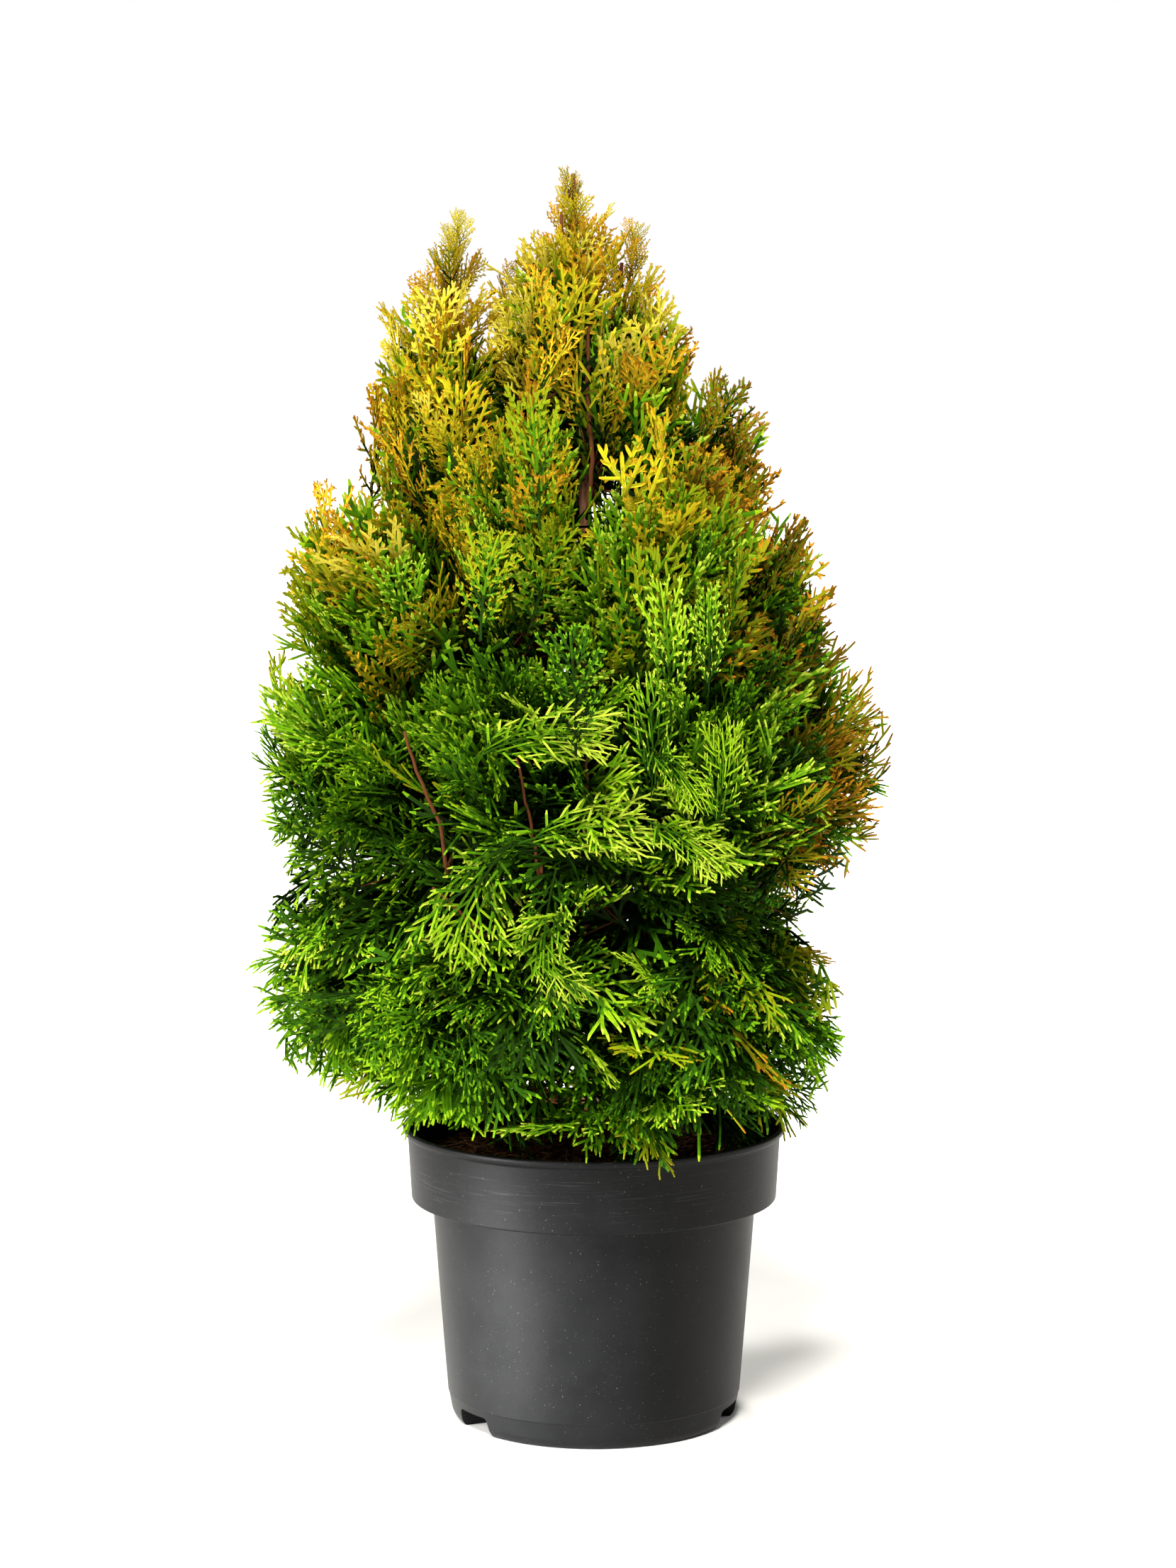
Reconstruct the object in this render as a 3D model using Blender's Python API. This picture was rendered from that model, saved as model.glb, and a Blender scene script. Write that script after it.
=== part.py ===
"""A potted thuja: a bushy, egg-shaped conifer with two leaders, in a round black nursery pot.

The pot stands on the ground with its axis on Z, and the front of the plant faces -Y.
The compost fills the pot, the trunk stands on it with a flat cut, and boughs leave the trunk
and end where they enter a mass of foliage. Each mass keeps to a space of its own: an ellipsoid,
drawn in to a point at the top where its sprays are steep, and cut back by flat planes halfway to
its neighbours. Lengths are metres and azimuths are degrees from the front, growing towards +X.
"""

import math
import random
from collections import namedtuple

import bmesh
import bpy
import numpy as np
from mathutils.bvhtree import BVHTree

SEED = 20
CLEARANCE = 0.0003  # between solids that touch
FACET_CLEARANCE = 0.0005  # where a limb leaves the trunk, which leans a little

# Pot
RIM_RADIUS = 0.1200
POT_HEIGHT = 0.1855
WALL = 0.0018
LIP_HEIGHT = 0.0055
COLLAR_TOP_RADIUS = 0.1169
COLLAR_FOOT_RADIUS = 0.1146
COLLAR_FOOT_Z = 0.1393
COLLAR_ROUND = 0.0014
LIP_ROUND = 0.0010
BODY_TOP_RADIUS = 0.1017
BODY_FOOT_RADIUS = 0.0922
BODY_FOOT_Z = 0.0165
BASE_RADIUS = 0.0853
BASE_ROUND = 0.0042
POT_STEPS = 40

# Drainage notches in the edge of the pot's base, each with a slot in its roof
NOTCH_AZIMUTHS = (-56.4, 70.5, 187.0)
NOTCH_HALF_WIDTH = 10.0  # degrees
NOTCH_HEIGHT = 0.0122
NOTCH_ROUND = 0.0045
NOTCH_FLARE = 0.0045  # of its sides, below its round
NOTCH_SHOULDER = 0.00675  # where its round starts, below its top
NOTCH_INNER_RADIUS = 0.060
NOTCH_CUT_DEPTH = 0.01  # of the cutter below the ground
SLOT_RADII = (0.066, 0.078)
SLOT_HALF_WIDTH = 0.004

# Compost
COMPOST_EDGE_Z = 0.1640
COMPOST_TOP_Z = 0.1700
COMPOST_MOUND_RADIUS = 0.062
COMPOST_MOUND_Z = 0.1682
COMPOST_FLAT_RADIUS = 0.026

# Trunk
TRUNK_FOOT_Z = COMPOST_TOP_Z + CLEARANCE
TRUNK_TIP_Z = 0.776
TRUNK_FOOT_RADIUS = 0.0092
TRUNK_TIP_RADIUS = 0.0012
FLARE_RADIUS = 0.0055
FLARE_HEIGHT = 0.011
TRUNK_LEAN = -0.013  # of the tip, towards -X
TRUNK_BEND = 0.005
TRUNK_RINGS = 13
TRUNK_SIDES = 8

# Boughs
BOUGH_SHARE = 0.40  # of the trunk's radius where it leaves
BOUGH_TAPER = 0.55
BOUGH_END = 0.80  # of the way from the mass's centre to the edge of its space
BOUGH_ENTRY_DROP = 1.1  # below the mass's centre, over its distance inwards
BOUGH_SPREAD = 0.62  # of its level run, where its bend's middle is
BOUGH_LIFT = 0.42  # of its rise, likewise
BOUGH_LEAST_RADIUS = 0.0016
BOUGH_SEGMENTS = 4
BOUGH_SIDES = 5

# Foliage
CELL_GAP = 0.0016  # between the spaces of two masses
# How a mass's space draws in above its centre: 2 is an ellipsoid, and less is more pointed
ROUND_POWER = 2.0
STEEP_POWER = 1.5
NARROW_POWER = 1.3
STEEP_RISE = 66  # degrees, from which a mass's space is pointed
# A core's reach, of the way from the mass's centre to the edge of its space: out of the crown,
# where the sprays stand out of it, and square to that, where its neighbours are
CORE_SHARE_OUT = 0.46
CORE_SHARE_ASIDE = 0.84
NARROW_REACH = 0.061  # across, below which a mass is slim: its sprays stand on its stem
NARROW_CORE_SHARE = 0.60
CORE_SUBDIVISIONS = 2
CORE_CLEARANCE = 0.003  # from any limb
CORE_SHRINK = 0.9  # at each try, where a face is too near a limb
CORE_TRIES = 16
CORE_SAMPLES = 5  # along each edge of a face, where its room is tested
LEAF_CLEARANCE = 0.0012
TWIG_CLEARANCE = 0.0030
POT_CLEARANCE = 0.0015
STEM_SEGMENTS = 3
STEM_SIDES = 5
STEM_RUN = 0.020  # straight on from the bough before it bends
STEM_LEAD = 0.6  # of that, out from the trunk, for a stem that then rises along it
STEM_TOP = 0.35  # of the reach above the middle
NARROW_STEM_TOP = 0.62
STEM_TIP_RADIUS = 0.0013
TWIG_RADIUS = 0.0016
TWIG_SIDES = 3
SPOTS_PER_M2 = 60.0  # of a mass's surface, each with a twig
NARROW_SPOTS_PER_M2 = 200.0
BASE_SHARES = (0.1, 0.4, 0.7)  # of each run of a narrow mass's stem, where sprays stand on it
ROOT_SHARE = 0.42  # of the way to its spot, where a spray starts that has no room behind it
INNER_LIMIT = -0.15  # cosine, from the way out of the crown, beyond which no spray starts
SPRAY_LENGTH = 0.084
SPRAY_SHORTEST = 0.034
SPRAY_MOST_STRETCH = 1.15
SPRAY_SHRINK = 0.9  # at each try, where it does not fit
SPRAY_TURNS = (0.0, 1.05, -1.05)  # radians, the rolls that are tried
TIP_SHARE = 0.985  # of the way to the edge of the space, where a spray's tip is put
TWIG_SAG = 0.005
TESTED_FROM = 0.4  # of a twig's first run, which may cross others where it leaves the stem
TWIG_TAPER = (1.0, 0.85, 0.5)
OUT_PULL = 0.25  # of the mass's own roundness on the way its sprays point
RISE_SPREAD = 9.0
WAY_SPREAD = 0.12  # on each axis of the unit way a spray points
ROLL_SPREAD = 0.6  # radians, of a spray about its own length
SPRAY_GAIN = 1.25  # in length, for which a spray is rolled another way
SPRAY_ASPECT = 0.62  # width over length
SPRAY_THICKNESS = 0.022  # of its length, at the middle
SINK = 0.006  # of a twig into its spray
# Sprays beside a twig: how far along its outer half each leaves, and at what angle
SIDE_SPRAYS = ((0.8, 40.0), (0.6, -42.0))
GOLD_ABOVE_Z = 0.62
LIME_ABOVE_Z = 0.50
GOLDEN_ANGLE = math.pi * (3.0 - math.sqrt(5.0))
AREA_POWER = 1.6  # in the usual estimate of an ellipsoid's area
MOST_ATTEMPTS = 6

# A toothed spray: (along, aside) of its neck, a tooth, a notch and a second tooth, as shares
# of its length and half width. Its thickest point lies on its middle line.
SPRAY_MIDDLE = 0.50
SPRAY_OUTLINE = ((0.14, 0.08), (0.60, 1.00), (0.57, 0.36), (0.88, 0.60))

# Each mass: its centre, its reach along X, Y and Z, the rise of its sprays in degrees, and the
# height at which its bough leaves the trunk. A mass with no bough grows from the trunk itself.
Mass = namedtuple("Mass", "x y z reach_x reach_y reach_z rise leaves_z has_bough")


def on_bough(x, y, z, reach_x, reach_y, reach_z, rise, leaves_z):
    return Mass(x, y, z, reach_x, reach_y, reach_z, rise, leaves_z, True)


def on_trunk(x, y, z, reach_x, reach_y, reach_z, rise, leaves_z):
    return Mass(x, y, z, reach_x, reach_y, reach_z, rise, leaves_z, False)


MASSES = {
    "leader_left": on_trunk(-0.020, -0.014, 0.698, 0.036, 0.042, 0.084, 84, 0.648),
    "leader_right": on_trunk(0.017, -0.010, 0.664, 0.042, 0.048, 0.092, 78, 0.590),
    "leader_back": on_trunk(-0.028, 0.040, 0.642, 0.056, 0.052, 0.096, 78, 0.576),
    "second_leader": on_bough(-0.093, -0.006, 0.640, 0.045, 0.052, 0.120, 82, 0.300),
    "right_crest": on_bough(0.058, 0.030, 0.594, 0.056, 0.064, 0.110, 74, 0.420),
    "centre_fan": on_bough(-0.040, -0.066, 0.580, 0.060, 0.058, 0.114, 78, 0.440),
    "left_shoulder": on_bough(-0.118, -0.016, 0.522, 0.076, 0.084, 0.122, 70, 0.380),
    "front_shoulder": on_bough(0.036, -0.082, 0.544, 0.066, 0.070, 0.122, 74, 0.400),
    "right_shoulder": on_bough(0.080, -0.012, 0.514, 0.068, 0.080, 0.120, 68, 0.360),
    "back_left_shoulder": on_bough(-0.058, 0.082, 0.548, 0.088, 0.080, 0.122, 70, 0.370),
    "back_right_shoulder": on_bough(0.044, 0.098, 0.526, 0.082, 0.076, 0.120, 68, 0.350),
    "left_side": on_bough(-0.131, -0.030, 0.424, 0.079, 0.088, 0.114, 52, 0.270),
    "front_side": on_bough(-0.034, -0.120, 0.416, 0.082, 0.076, 0.124, 50, 0.250),
    "front_right_side": on_bough(0.064, -0.092, 0.410, 0.080, 0.082, 0.120, 48, 0.285),
    "right_side": on_bough(0.103, 0.016, 0.414, 0.083, 0.090, 0.112, 50, 0.262),
    "back_side": on_bough(0.026, 0.118, 0.410, 0.094, 0.080, 0.122, 50, 0.292),
    "back_left_side": on_bough(-0.088, 0.084, 0.414, 0.094, 0.092, 0.122, 50, 0.255),
    "left_skirt": on_bough(-0.130, -0.010, 0.282, 0.085, 0.094, 0.084, 16, 0.212),
    "front_left_skirt": on_bough(-0.062, -0.096, 0.264, 0.086, 0.084, 0.092, 4, 0.207),
    "front_right_skirt": on_bough(0.038, -0.100, 0.258, 0.084, 0.080, 0.092, 2, 0.214),
    "right_skirt": on_bough(0.086, -0.016, 0.252, 0.070, 0.088, 0.086, 10, 0.209),
    "back_right_skirt": on_bough(0.060, 0.086, 0.260, 0.086, 0.084, 0.090, 10, 0.218),
    "back_left_skirt": on_bough(-0.064, 0.092, 0.266, 0.090, 0.084, 0.090, 12, 0.206),
}
# Boughs that bow away from the straight way to their mass: the bend's middle as an offset
BOUGH_BOWS = {"second_leader": (-0.006, 0.042, 0.020)}


# ---------------------------------------------------------------- helpers


def clear_scene():
    for item in list(bpy.data.objects):
        bpy.data.objects.remove(item, do_unlink=True)


def material(name, colour, roughness):
    made = bpy.data.materials.new(name)
    made.use_nodes = True
    shader = made.node_tree.nodes["Principled BSDF"]
    shader.inputs["Base Color"].default_value = (*colour, 1.0)
    shader.inputs["Roughness"].default_value = roughness
    shader.inputs["Metallic"].default_value = 0.0
    return made


def new_object(name, bm, surface=None, smooth=False):
    """Links a bmesh as a named object, its faces pointing out."""
    bmesh.ops.recalc_face_normals(bm, faces=bm.faces)
    mesh = bpy.data.meshes.new(name)
    bm.to_mesh(mesh)
    bm.free()
    made = bpy.data.objects.new(name, mesh)
    bpy.context.scene.collection.objects.link(made)
    if surface:
        mesh.materials.append(surface)
    if smooth:
        mesh.shade_smooth()
        mesh.set_sharp_from_angle(angle=math.radians(35))
    return made


def as_cutter(item):
    item.hide_render = True
    item.display_type = "WIRE"
    return item


def boolean(item, operation, other):
    modifier = item.modifiers.new(operation.title(), "BOOLEAN")
    modifier.operation = operation
    modifier.object = other
    modifier.solver = "EXACT"


def unit(vector):
    return vector / np.linalg.norm(vector)


def outward(azimuth):
    """The level unit vector at an azimuth in degrees from the front."""
    angle = math.radians(azimuth)
    return np.array([math.sin(angle), -math.cos(angle), 0.0])


def turned(name, profile, steps, surface=None, smooth=True):
    """A solid of revolution about Z from (radius, height) pairs whose ends lie on the axis."""
    bm = bmesh.new()
    verts = [bm.verts.new((radius, 0.0, height)) for radius, height in profile]
    edges = [bm.edges.new(pair) for pair in zip(verts, verts[1:])]
    bmesh.ops.spin(
        bm,
        geom=verts + edges,
        cent=(0, 0, 0),
        axis=(0, 0, 1),
        angle=2 * math.pi,
        steps=steps,
        use_merge=True,
    )
    bmesh.ops.remove_doubles(bm, verts=bm.verts, dist=1e-6)
    return new_object(name, bm, surface, smooth)


def side_of(direction):
    """A level unit vector square to a direction, or along X where that is upright."""
    side = np.cross((0.0, 0.0, 1.0), direction)
    return unit(side) if np.linalg.norm(side) > 1e-6 else np.array([1.0, 0.0, 0.0])


def tube(name, path, radii, sides, first_plane=None, surface=None, smooth=False):
    """A tapering limb along a path, capped flat. first_plane is the normal of its first ring's
    plane where that isn't square to the path, as on a limb that leaves another's side."""
    bm = bmesh.new()
    rings = []
    last = len(path) - 1
    across = side_of(path[1] - path[0] if first_plane is None else first_plane)
    for i, (place, radius) in enumerate(zip(path, radii)):
        along = unit(path[min(i + 1, last)] - path[max(i - 1, 0)])
        if i == 0 and first_plane is not None:
            along = first_plane
        across = unit(across - (across @ along) * along)
        above = np.cross(along, across)
        turn = [2 * math.pi * k / sides for k in range(sides)]
        rings.append(
            [bm.verts.new(place + radius * (math.cos(a) * across + math.sin(a) * above)) for a in turn]
        )
    for low, high in zip(rings, rings[1:]):
        for k in range(sides):
            bm.faces.new((low[k], low[(k + 1) % sides], high[(k + 1) % sides], high[k]))
    bm.faces.new(list(reversed(rings[0])))
    bm.faces.new(rings[-1])
    return new_object(name, bm, surface, smooth)


def bezier(start, middle, end, count):
    """Points along a quadratic curve."""
    t = np.linspace(0.0, 1.0, count)[:, None]
    return (1 - t) ** 2 * start + 2 * t * (1 - t) * middle + t**2 * end


# ---------------------------------------------------------------- pot and compost


def pot_outside():
    """(radius, height) pairs of the pot's outer skin, from the base's middle to the lip."""
    return [
        (0.0, 0.0),
        (BASE_RADIUS, 0.0),
        (BASE_RADIUS + BASE_ROUND * 0.75, BASE_ROUND * 0.55),
        (BODY_FOOT_RADIUS, BODY_FOOT_Z),
        (BODY_TOP_RADIUS, COLLAR_FOOT_Z - COLLAR_ROUND),
        (COLLAR_FOOT_RADIUS - COLLAR_ROUND, COLLAR_FOOT_Z),
        (COLLAR_FOOT_RADIUS, COLLAR_FOOT_Z + COLLAR_ROUND),
        (COLLAR_TOP_RADIUS, POT_HEIGHT - LIP_HEIGHT),
        (RIM_RADIUS - LIP_ROUND / 2, POT_HEIGHT - LIP_HEIGHT * 0.55),
        (RIM_RADIUS, POT_HEIGHT - LIP_HEIGHT * 0.25),
        (RIM_RADIUS - LIP_ROUND, POT_HEIGHT),
    ]


def pot_inside(top, shrink=0.0):
    """The same for the pot's inner skin, up to a height, shrunk by a gap."""
    wall = WALL + shrink
    ledge = COLLAR_FOOT_Z + wall
    collar = COLLAR_FOOT_RADIUS - wall
    slope = (COLLAR_TOP_RADIUS - COLLAR_FOOT_RADIUS) / (POT_HEIGHT - LIP_HEIGHT - COLLAR_FOOT_Z)
    return [
        (0.0, wall),
        (BASE_RADIUS - shrink, wall),
        (BODY_FOOT_RADIUS - wall, BODY_FOOT_Z + shrink),
        (BODY_TOP_RADIUS - wall, ledge - WALL / 2),
        (collar, ledge + WALL / 2),
        (collar + slope * (top - ledge), top),
    ]


def notch_cutter(name, azimuth, grow):
    """A block that cuts one drainage notch, grown by a wall or a gap on every side."""
    widening = math.tan(math.radians(NOTCH_HALF_WIDTH))
    top = NOTCH_HEIGHT + grow
    shoulder = top - NOTCH_SHOULDER
    corners = [(grow + NOTCH_FLARE, -NOTCH_CUT_DEPTH), (grow, shoulder), (grow - NOTCH_ROUND, top)]
    along = outward(azimuth)
    across = outward(azimuth + 90)
    bm = bmesh.new()
    ends = []
    for reach in (NOTCH_INNER_RADIUS - grow, RIM_RADIUS):
        half = [(reach * widening + wider, height) for wider, height in corners]
        section = half + [(-aside, height) for aside, height in reversed(half)]
        places = [reach * along + aside * across for aside, _ in section]
        ends.append([bm.verts.new((x, y, high)) for (x, y, _), (_, high) in zip(places, section)])
    for k in range(len(section)):
        after = (k + 1) % len(section)
        bm.faces.new((ends[0][k], ends[0][after], ends[1][after], ends[1][k]))
    bm.faces.new(list(reversed(ends[0])))
    bm.faces.new(ends[1])
    return as_cutter(new_object(name, bm))


def slot_cutter(azimuth):
    """A block that cuts one drainage slot through the roof of a notch."""
    bm = bmesh.new()
    bmesh.ops.create_cube(bm, size=1.0)
    inner, outer = SLOT_RADII
    bmesh.ops.scale(bm, vec=(2 * SLOT_HALF_WIDTH, outer - inner, NOTCH_HEIGHT), verts=bm.verts)
    made = as_cutter(new_object(f"slot_cutter_{azimuth:.0f}", bm))
    made.location = outward(azimuth) * (inner + outer) / 2 + np.array([0, 0, NOTCH_HEIGHT])
    made.rotation_euler.z = math.radians(azimuth)
    return made


def build_pot(plastic):
    above = POT_HEIGHT + WALL
    pot = turned("pot", [*pot_outside(), (0.0, POT_HEIGHT)], POT_STEPS, plastic)
    cavity = turned("pot_cavity", [*pot_inside(above), (0.0, above)], POT_STEPS)
    for azimuth in NOTCH_AZIMUTHS:
        boolean(cavity, "DIFFERENCE", notch_cutter(f"notch_roof_{azimuth:.0f}", azimuth, WALL))
        boolean(pot, "DIFFERENCE", notch_cutter(f"notch_{azimuth:.0f}", azimuth, 0.0))
    boolean(pot, "DIFFERENCE", as_cutter(cavity))
    for azimuth in NOTCH_AZIMUTHS:
        boolean(pot, "DIFFERENCE", slot_cutter(azimuth))


def build_compost(earth):
    profile = [
        *pot_inside(COMPOST_EDGE_Z, CLEARANCE),
        (COMPOST_MOUND_RADIUS, COMPOST_MOUND_Z),
        (COMPOST_FLAT_RADIUS, COMPOST_TOP_Z),
        (0.0, COMPOST_TOP_Z),
    ]
    compost = turned("compost", profile, POT_STEPS, earth)
    for azimuth in NOTCH_AZIMUTHS:
        cutter = notch_cutter(f"compost_notch_{azimuth:.0f}", azimuth, WALL + CLEARANCE)
        boolean(compost, "DIFFERENCE", cutter)


# ---------------------------------------------------------------- trunk and boughs


def trunk_ring(share):
    """The trunk's axis and radius at a share of its height: a slight double bend that leans
    at the tip, over a root flare."""
    z = TRUNK_FOOT_Z + share * (TRUNK_TIP_Z - TRUNK_FOOT_Z)
    x = TRUNK_LEAN * share**3 + TRUNK_BEND * math.sin(2 * math.pi * share) * (1 - share)
    y = TRUNK_BEND * math.sin(math.pi * share) * math.cos(2 * math.pi * share)
    flare = FLARE_RADIUS * math.exp((TRUNK_FOOT_Z - z) / FLARE_HEIGHT)
    radius = TRUNK_FOOT_RADIUS + (TRUNK_TIP_RADIUS - TRUNK_FOOT_RADIUS) * share + flare
    return (x, y, z, radius)


# Rings are closer together through the root flare
TRUNK = np.array([trunk_ring((i / (TRUNK_RINGS - 1)) ** 1.5) for i in range(TRUNK_RINGS)])


def trunk_point(z):
    """The trunk's axis at a height, between its rings."""
    return np.array([np.interp(z, TRUNK[:, 2], TRUNK[:, k]) for k in range(3)])


def trunk_radius(z):
    return float(np.interp(z, TRUNK[:, 2], TRUNK[:, 3]))


def leaving_trunk(z, way, radius):
    """Where a limb leaves the trunk's side towards a way, clear of its flat facet there."""
    away = unit(np.array([way[0], way[1], 0.0]))
    half = math.pi / TRUNK_SIDES
    off_facet = math.atan2(away[1], away[0]) % (2 * half) - half
    facet = trunk_radius(z - radius) * math.cos(half) / math.cos(off_facet)
    return trunk_point(z) + away * (facet + FACET_CLEARANCE), away


def bough_path(name):
    """Points and radii of the bough that carries a mass, and its first ring's plane."""
    mass = MASSES[name]
    cell = Cell(name)
    radius = max(BOUGH_SHARE * trunk_radius(mass.leaves_z), BOUGH_LEAST_RADIUS)
    start, away = leaving_trunk(mass.leaves_z, cell.centre - trunk_point(mass.leaves_z), radius)
    inwards = start - cell.centre
    inwards[2] = -BOUGH_ENTRY_DROP * np.linalg.norm(inwards[:2])
    inwards = unit(inwards)
    end = cell.centre + inwards * BOUGH_END * cell.edge_along(inwards[None])[0]
    run = end - start
    lift = np.array([0.0, 0.0, run[2] * BOUGH_LIFT])
    middle = start + away * np.linalg.norm(run[:2]) * BOUGH_SPREAD + lift
    middle = middle + np.array(BOUGH_BOWS.get(name, (0.0, 0.0, 0.0)))
    path = bezier(start, middle, end, BOUGH_SEGMENTS + 1)
    radii = np.linspace(radius, radius * BOUGH_TAPER, BOUGH_SEGMENTS + 1)
    return path, radii, away


def build_limbs(bark):
    """Makes the trunk and boughs. Returns every limb's points and radii, by name."""
    limbs = {"trunk": (TRUNK[:, :3], TRUNK[:, 3])}
    tube("trunk", *limbs["trunk"], TRUNK_SIDES, np.array([0.0, 0.0, 1.0]), bark, smooth=True)
    for name, mass in MASSES.items():
        if not mass.has_bough:
            continue
        path, radii, away = bough_path(name)
        limbs[f"bough_{name}"] = (path, radii)
        tube(f"bough_{name}", path, radii, BOUGH_SIDES, away, bark, smooth=True)
    return limbs


# ---------------------------------------------------------------- the space of a mass


def centre_of(mass):
    return np.array([mass.x, mass.y, mass.z])


def reach_of(mass):
    return np.array([mass.reach_x, mass.reach_y, mass.reach_z])


class Cell:
    """The rounded space of a mass, cut back by a flat side towards each neighbour."""

    def __init__(self, name):
        self.centre = centre_of(MASSES[name])
        self.reach = reach_of(MASSES[name])
        steep = STEEP_POWER if MASSES[name].rise >= STEEP_RISE else ROUND_POWER
        self.power = NARROW_POWER if self.reach[0] < NARROW_REACH else steep
        sides = [self.side_to(other) for key, other in MASSES.items() if key != name]
        self.normals = np.array([normal for normal, _ in sides])
        self.offsets = np.array([offset for _, offset in sides])

    def side_to(self, other):
        """The flat side towards a neighbour, as (normal, offset)."""
        way = centre_of(other) - self.centre
        distance = np.linalg.norm(way)
        normal = way / distance
        own = 1.0 / np.linalg.norm(normal / self.reach)
        theirs = 1.0 / np.linalg.norm(normal / reach_of(other))
        return normal, normal @ self.centre + distance * own / (own + theirs) - CELL_GAP / 2

    def scaled(self, offsets):
        """How far offsets from the centre lie, as a share of the rounded side's distance."""
        shares = offsets / self.reach
        power = np.where(shares[:, 2] > 0, self.power, ROUND_POWER)
        level = np.linalg.norm(shares[:, :2], axis=1)
        return (level**power + np.abs(shares[:, 2]) ** power) ** (1 / power)

    def depth(self, points):
        """How deep points lie inside the rounded and flat sides. Less than 0 is out."""
        inside = (1.0 - self.scaled(points - self.centre)) * self.reach.min()
        return np.minimum(inside, (self.offsets - points @ self.normals.T).min(axis=1))

    def edge_along(self, ways):
        """The distance from the centre to the cell's edge, along unit vectors."""
        towards = np.maximum(ways @ self.normals.T, 1e-6)
        flat = ((self.offsets - self.normals @ self.centre) / towards).min(axis=1)
        return np.minimum(flat, 1.0 / self.scaled(ways))

    def way_out_of_crown(self):
        away = self.centre - trunk_point(self.centre[2])
        away[2] = 0.0
        return unit(away)


class Space(Cell):
    """What a mass may fill: its cell, outside the pot and clear of the limbs."""

    def __init__(self, name, limbs):
        super().__init__(name)
        self.name = name
        self.mass = MASSES[name]
        self.limb_lows = np.vstack([path[:-1] for path, _ in limbs.values()])
        self.limb_runs = np.vstack([path[1:] for path, _ in limbs.values()]) - self.limb_lows
        self.limb_radii = np.hstack([radii[:-1] for _, radii in limbs.values()])

    def limb_room(self, points):
        """How far points lie from the nearest limb's bark."""
        away = points[:, None, :] - self.limb_lows
        share = (away * self.limb_runs).sum(axis=2) / (self.limb_runs**2).sum(axis=1)
        away -= np.clip(share, 0.0, 1.0)[:, :, None] * self.limb_runs
        return (np.linalg.norm(away, axis=2) - self.limb_radii).min(axis=1)

    def pot_room(self, points):
        """How far points lie outside the pot and above its rim and compost."""
        radius = np.linalg.norm(points[:, :2], axis=1)
        within = np.minimum(COLLAR_FOOT_RADIUS - POT_CLEARANCE - radius, points[:, 2] - COMPOST_TOP_Z)
        return np.maximum(np.maximum(points[:, 2] - POT_HEIGHT, radius - RIM_RADIUS), within)

    def holds(self, points, limb_gap):
        return bool(
            self.depth(points).min() > 0.0
            and self.limb_room(points).min() > limb_gap
            and self.pot_room(points).min() > POT_CLEARANCE
        )

    def way_out(self, start, direction, longest):
        """How far a straight line can run from a start before it leaves the space."""
        steps = np.linspace(0.0, longest, 30)
        inside = self.depth(start + steps[:, None] * direction) > 0.0
        return longest if inside.all() else steps[max(int(np.argmin(inside)) - 1, 0)]


# ---------------------------------------------------------------- foliage


def spray_points(root, direction, side, length):
    """A spray's outline, round from its root, then its middle."""
    half_width = length * SPRAY_ASPECT / 2
    outline = [(0.0, 0.0), *SPRAY_OUTLINE, (1.0, 0.0)]
    outline += [(along, -aside) for along, aside in reversed(SPRAY_OUTLINE)]
    outline.append((SPRAY_MIDDLE, 0.0))
    return [root + direction * (a * length) + side * (w * half_width) for a, w in outline]


def blade(name, root, direction, side, length):
    """A toothed spray: a flat, closed lens inside its outline."""
    *outline, middle = spray_points(root, direction, side, length)
    bulge = np.cross(direction, side) * (SPRAY_THICKNESS * length / 2)
    bm = bmesh.new()
    rim = [bm.verts.new(corner) for corner in outline]
    front, back = bm.verts.new(middle + bulge), bm.verts.new(middle - bulge)
    for corner, following in zip(rim, rim[1:] + rim[:1]):
        bm.faces.new((corner, following, front))
        bm.faces.new((following, corner, back))
    return new_object(name, bm)


def fan_tree(points, apex):
    """A search tree of the flat fan that joins a run of points to an apex."""
    faces = [(k, k + 1, len(points)) for k in range(len(points) - 1)]
    return BVHTree.FromPolygons([*points, apex], faces)


def spray_tree(spray):
    """The same for a whole spray."""
    *outline, middle = spray_points(*spray)
    return fan_tree([*outline, outline[0]], middle)


def limb_tree(path, share=0.0):
    """The same for a thin strip along a path, from a share of its first run on."""
    start = path[0] + (path[1] - path[0]) * share
    across = side_of(path[-1] - path[0]) * TWIG_RADIUS
    return fan_tree([start, *path[1:]], path[len(path) // 2] + across)


def spray_direction(space, place, rng):
    """The way that foliage points at a place: out from the mass, up or down by its rise."""
    normal = unit((place - space.centre) / space.reach**2)
    level = place - trunk_point(min(place[2], TRUNK_TIP_Z))
    level[2] = 0.0
    level = unit(level)
    rise = math.radians(space.mass.rise + rng.uniform(-RISE_SPREAD, RISE_SPREAD))
    lifted = level * math.cos(rise) + np.array([0.0, 0.0, math.sin(rise)])
    jitter = np.array([rng.uniform(-WAY_SPREAD, WAY_SPREAD) for _ in range(3)])
    return unit(OUT_PULL * normal + (1 - OUT_PULL) * lifted + jitter)


def narrow(space):
    return space.reach[0] < NARROW_REACH


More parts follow.
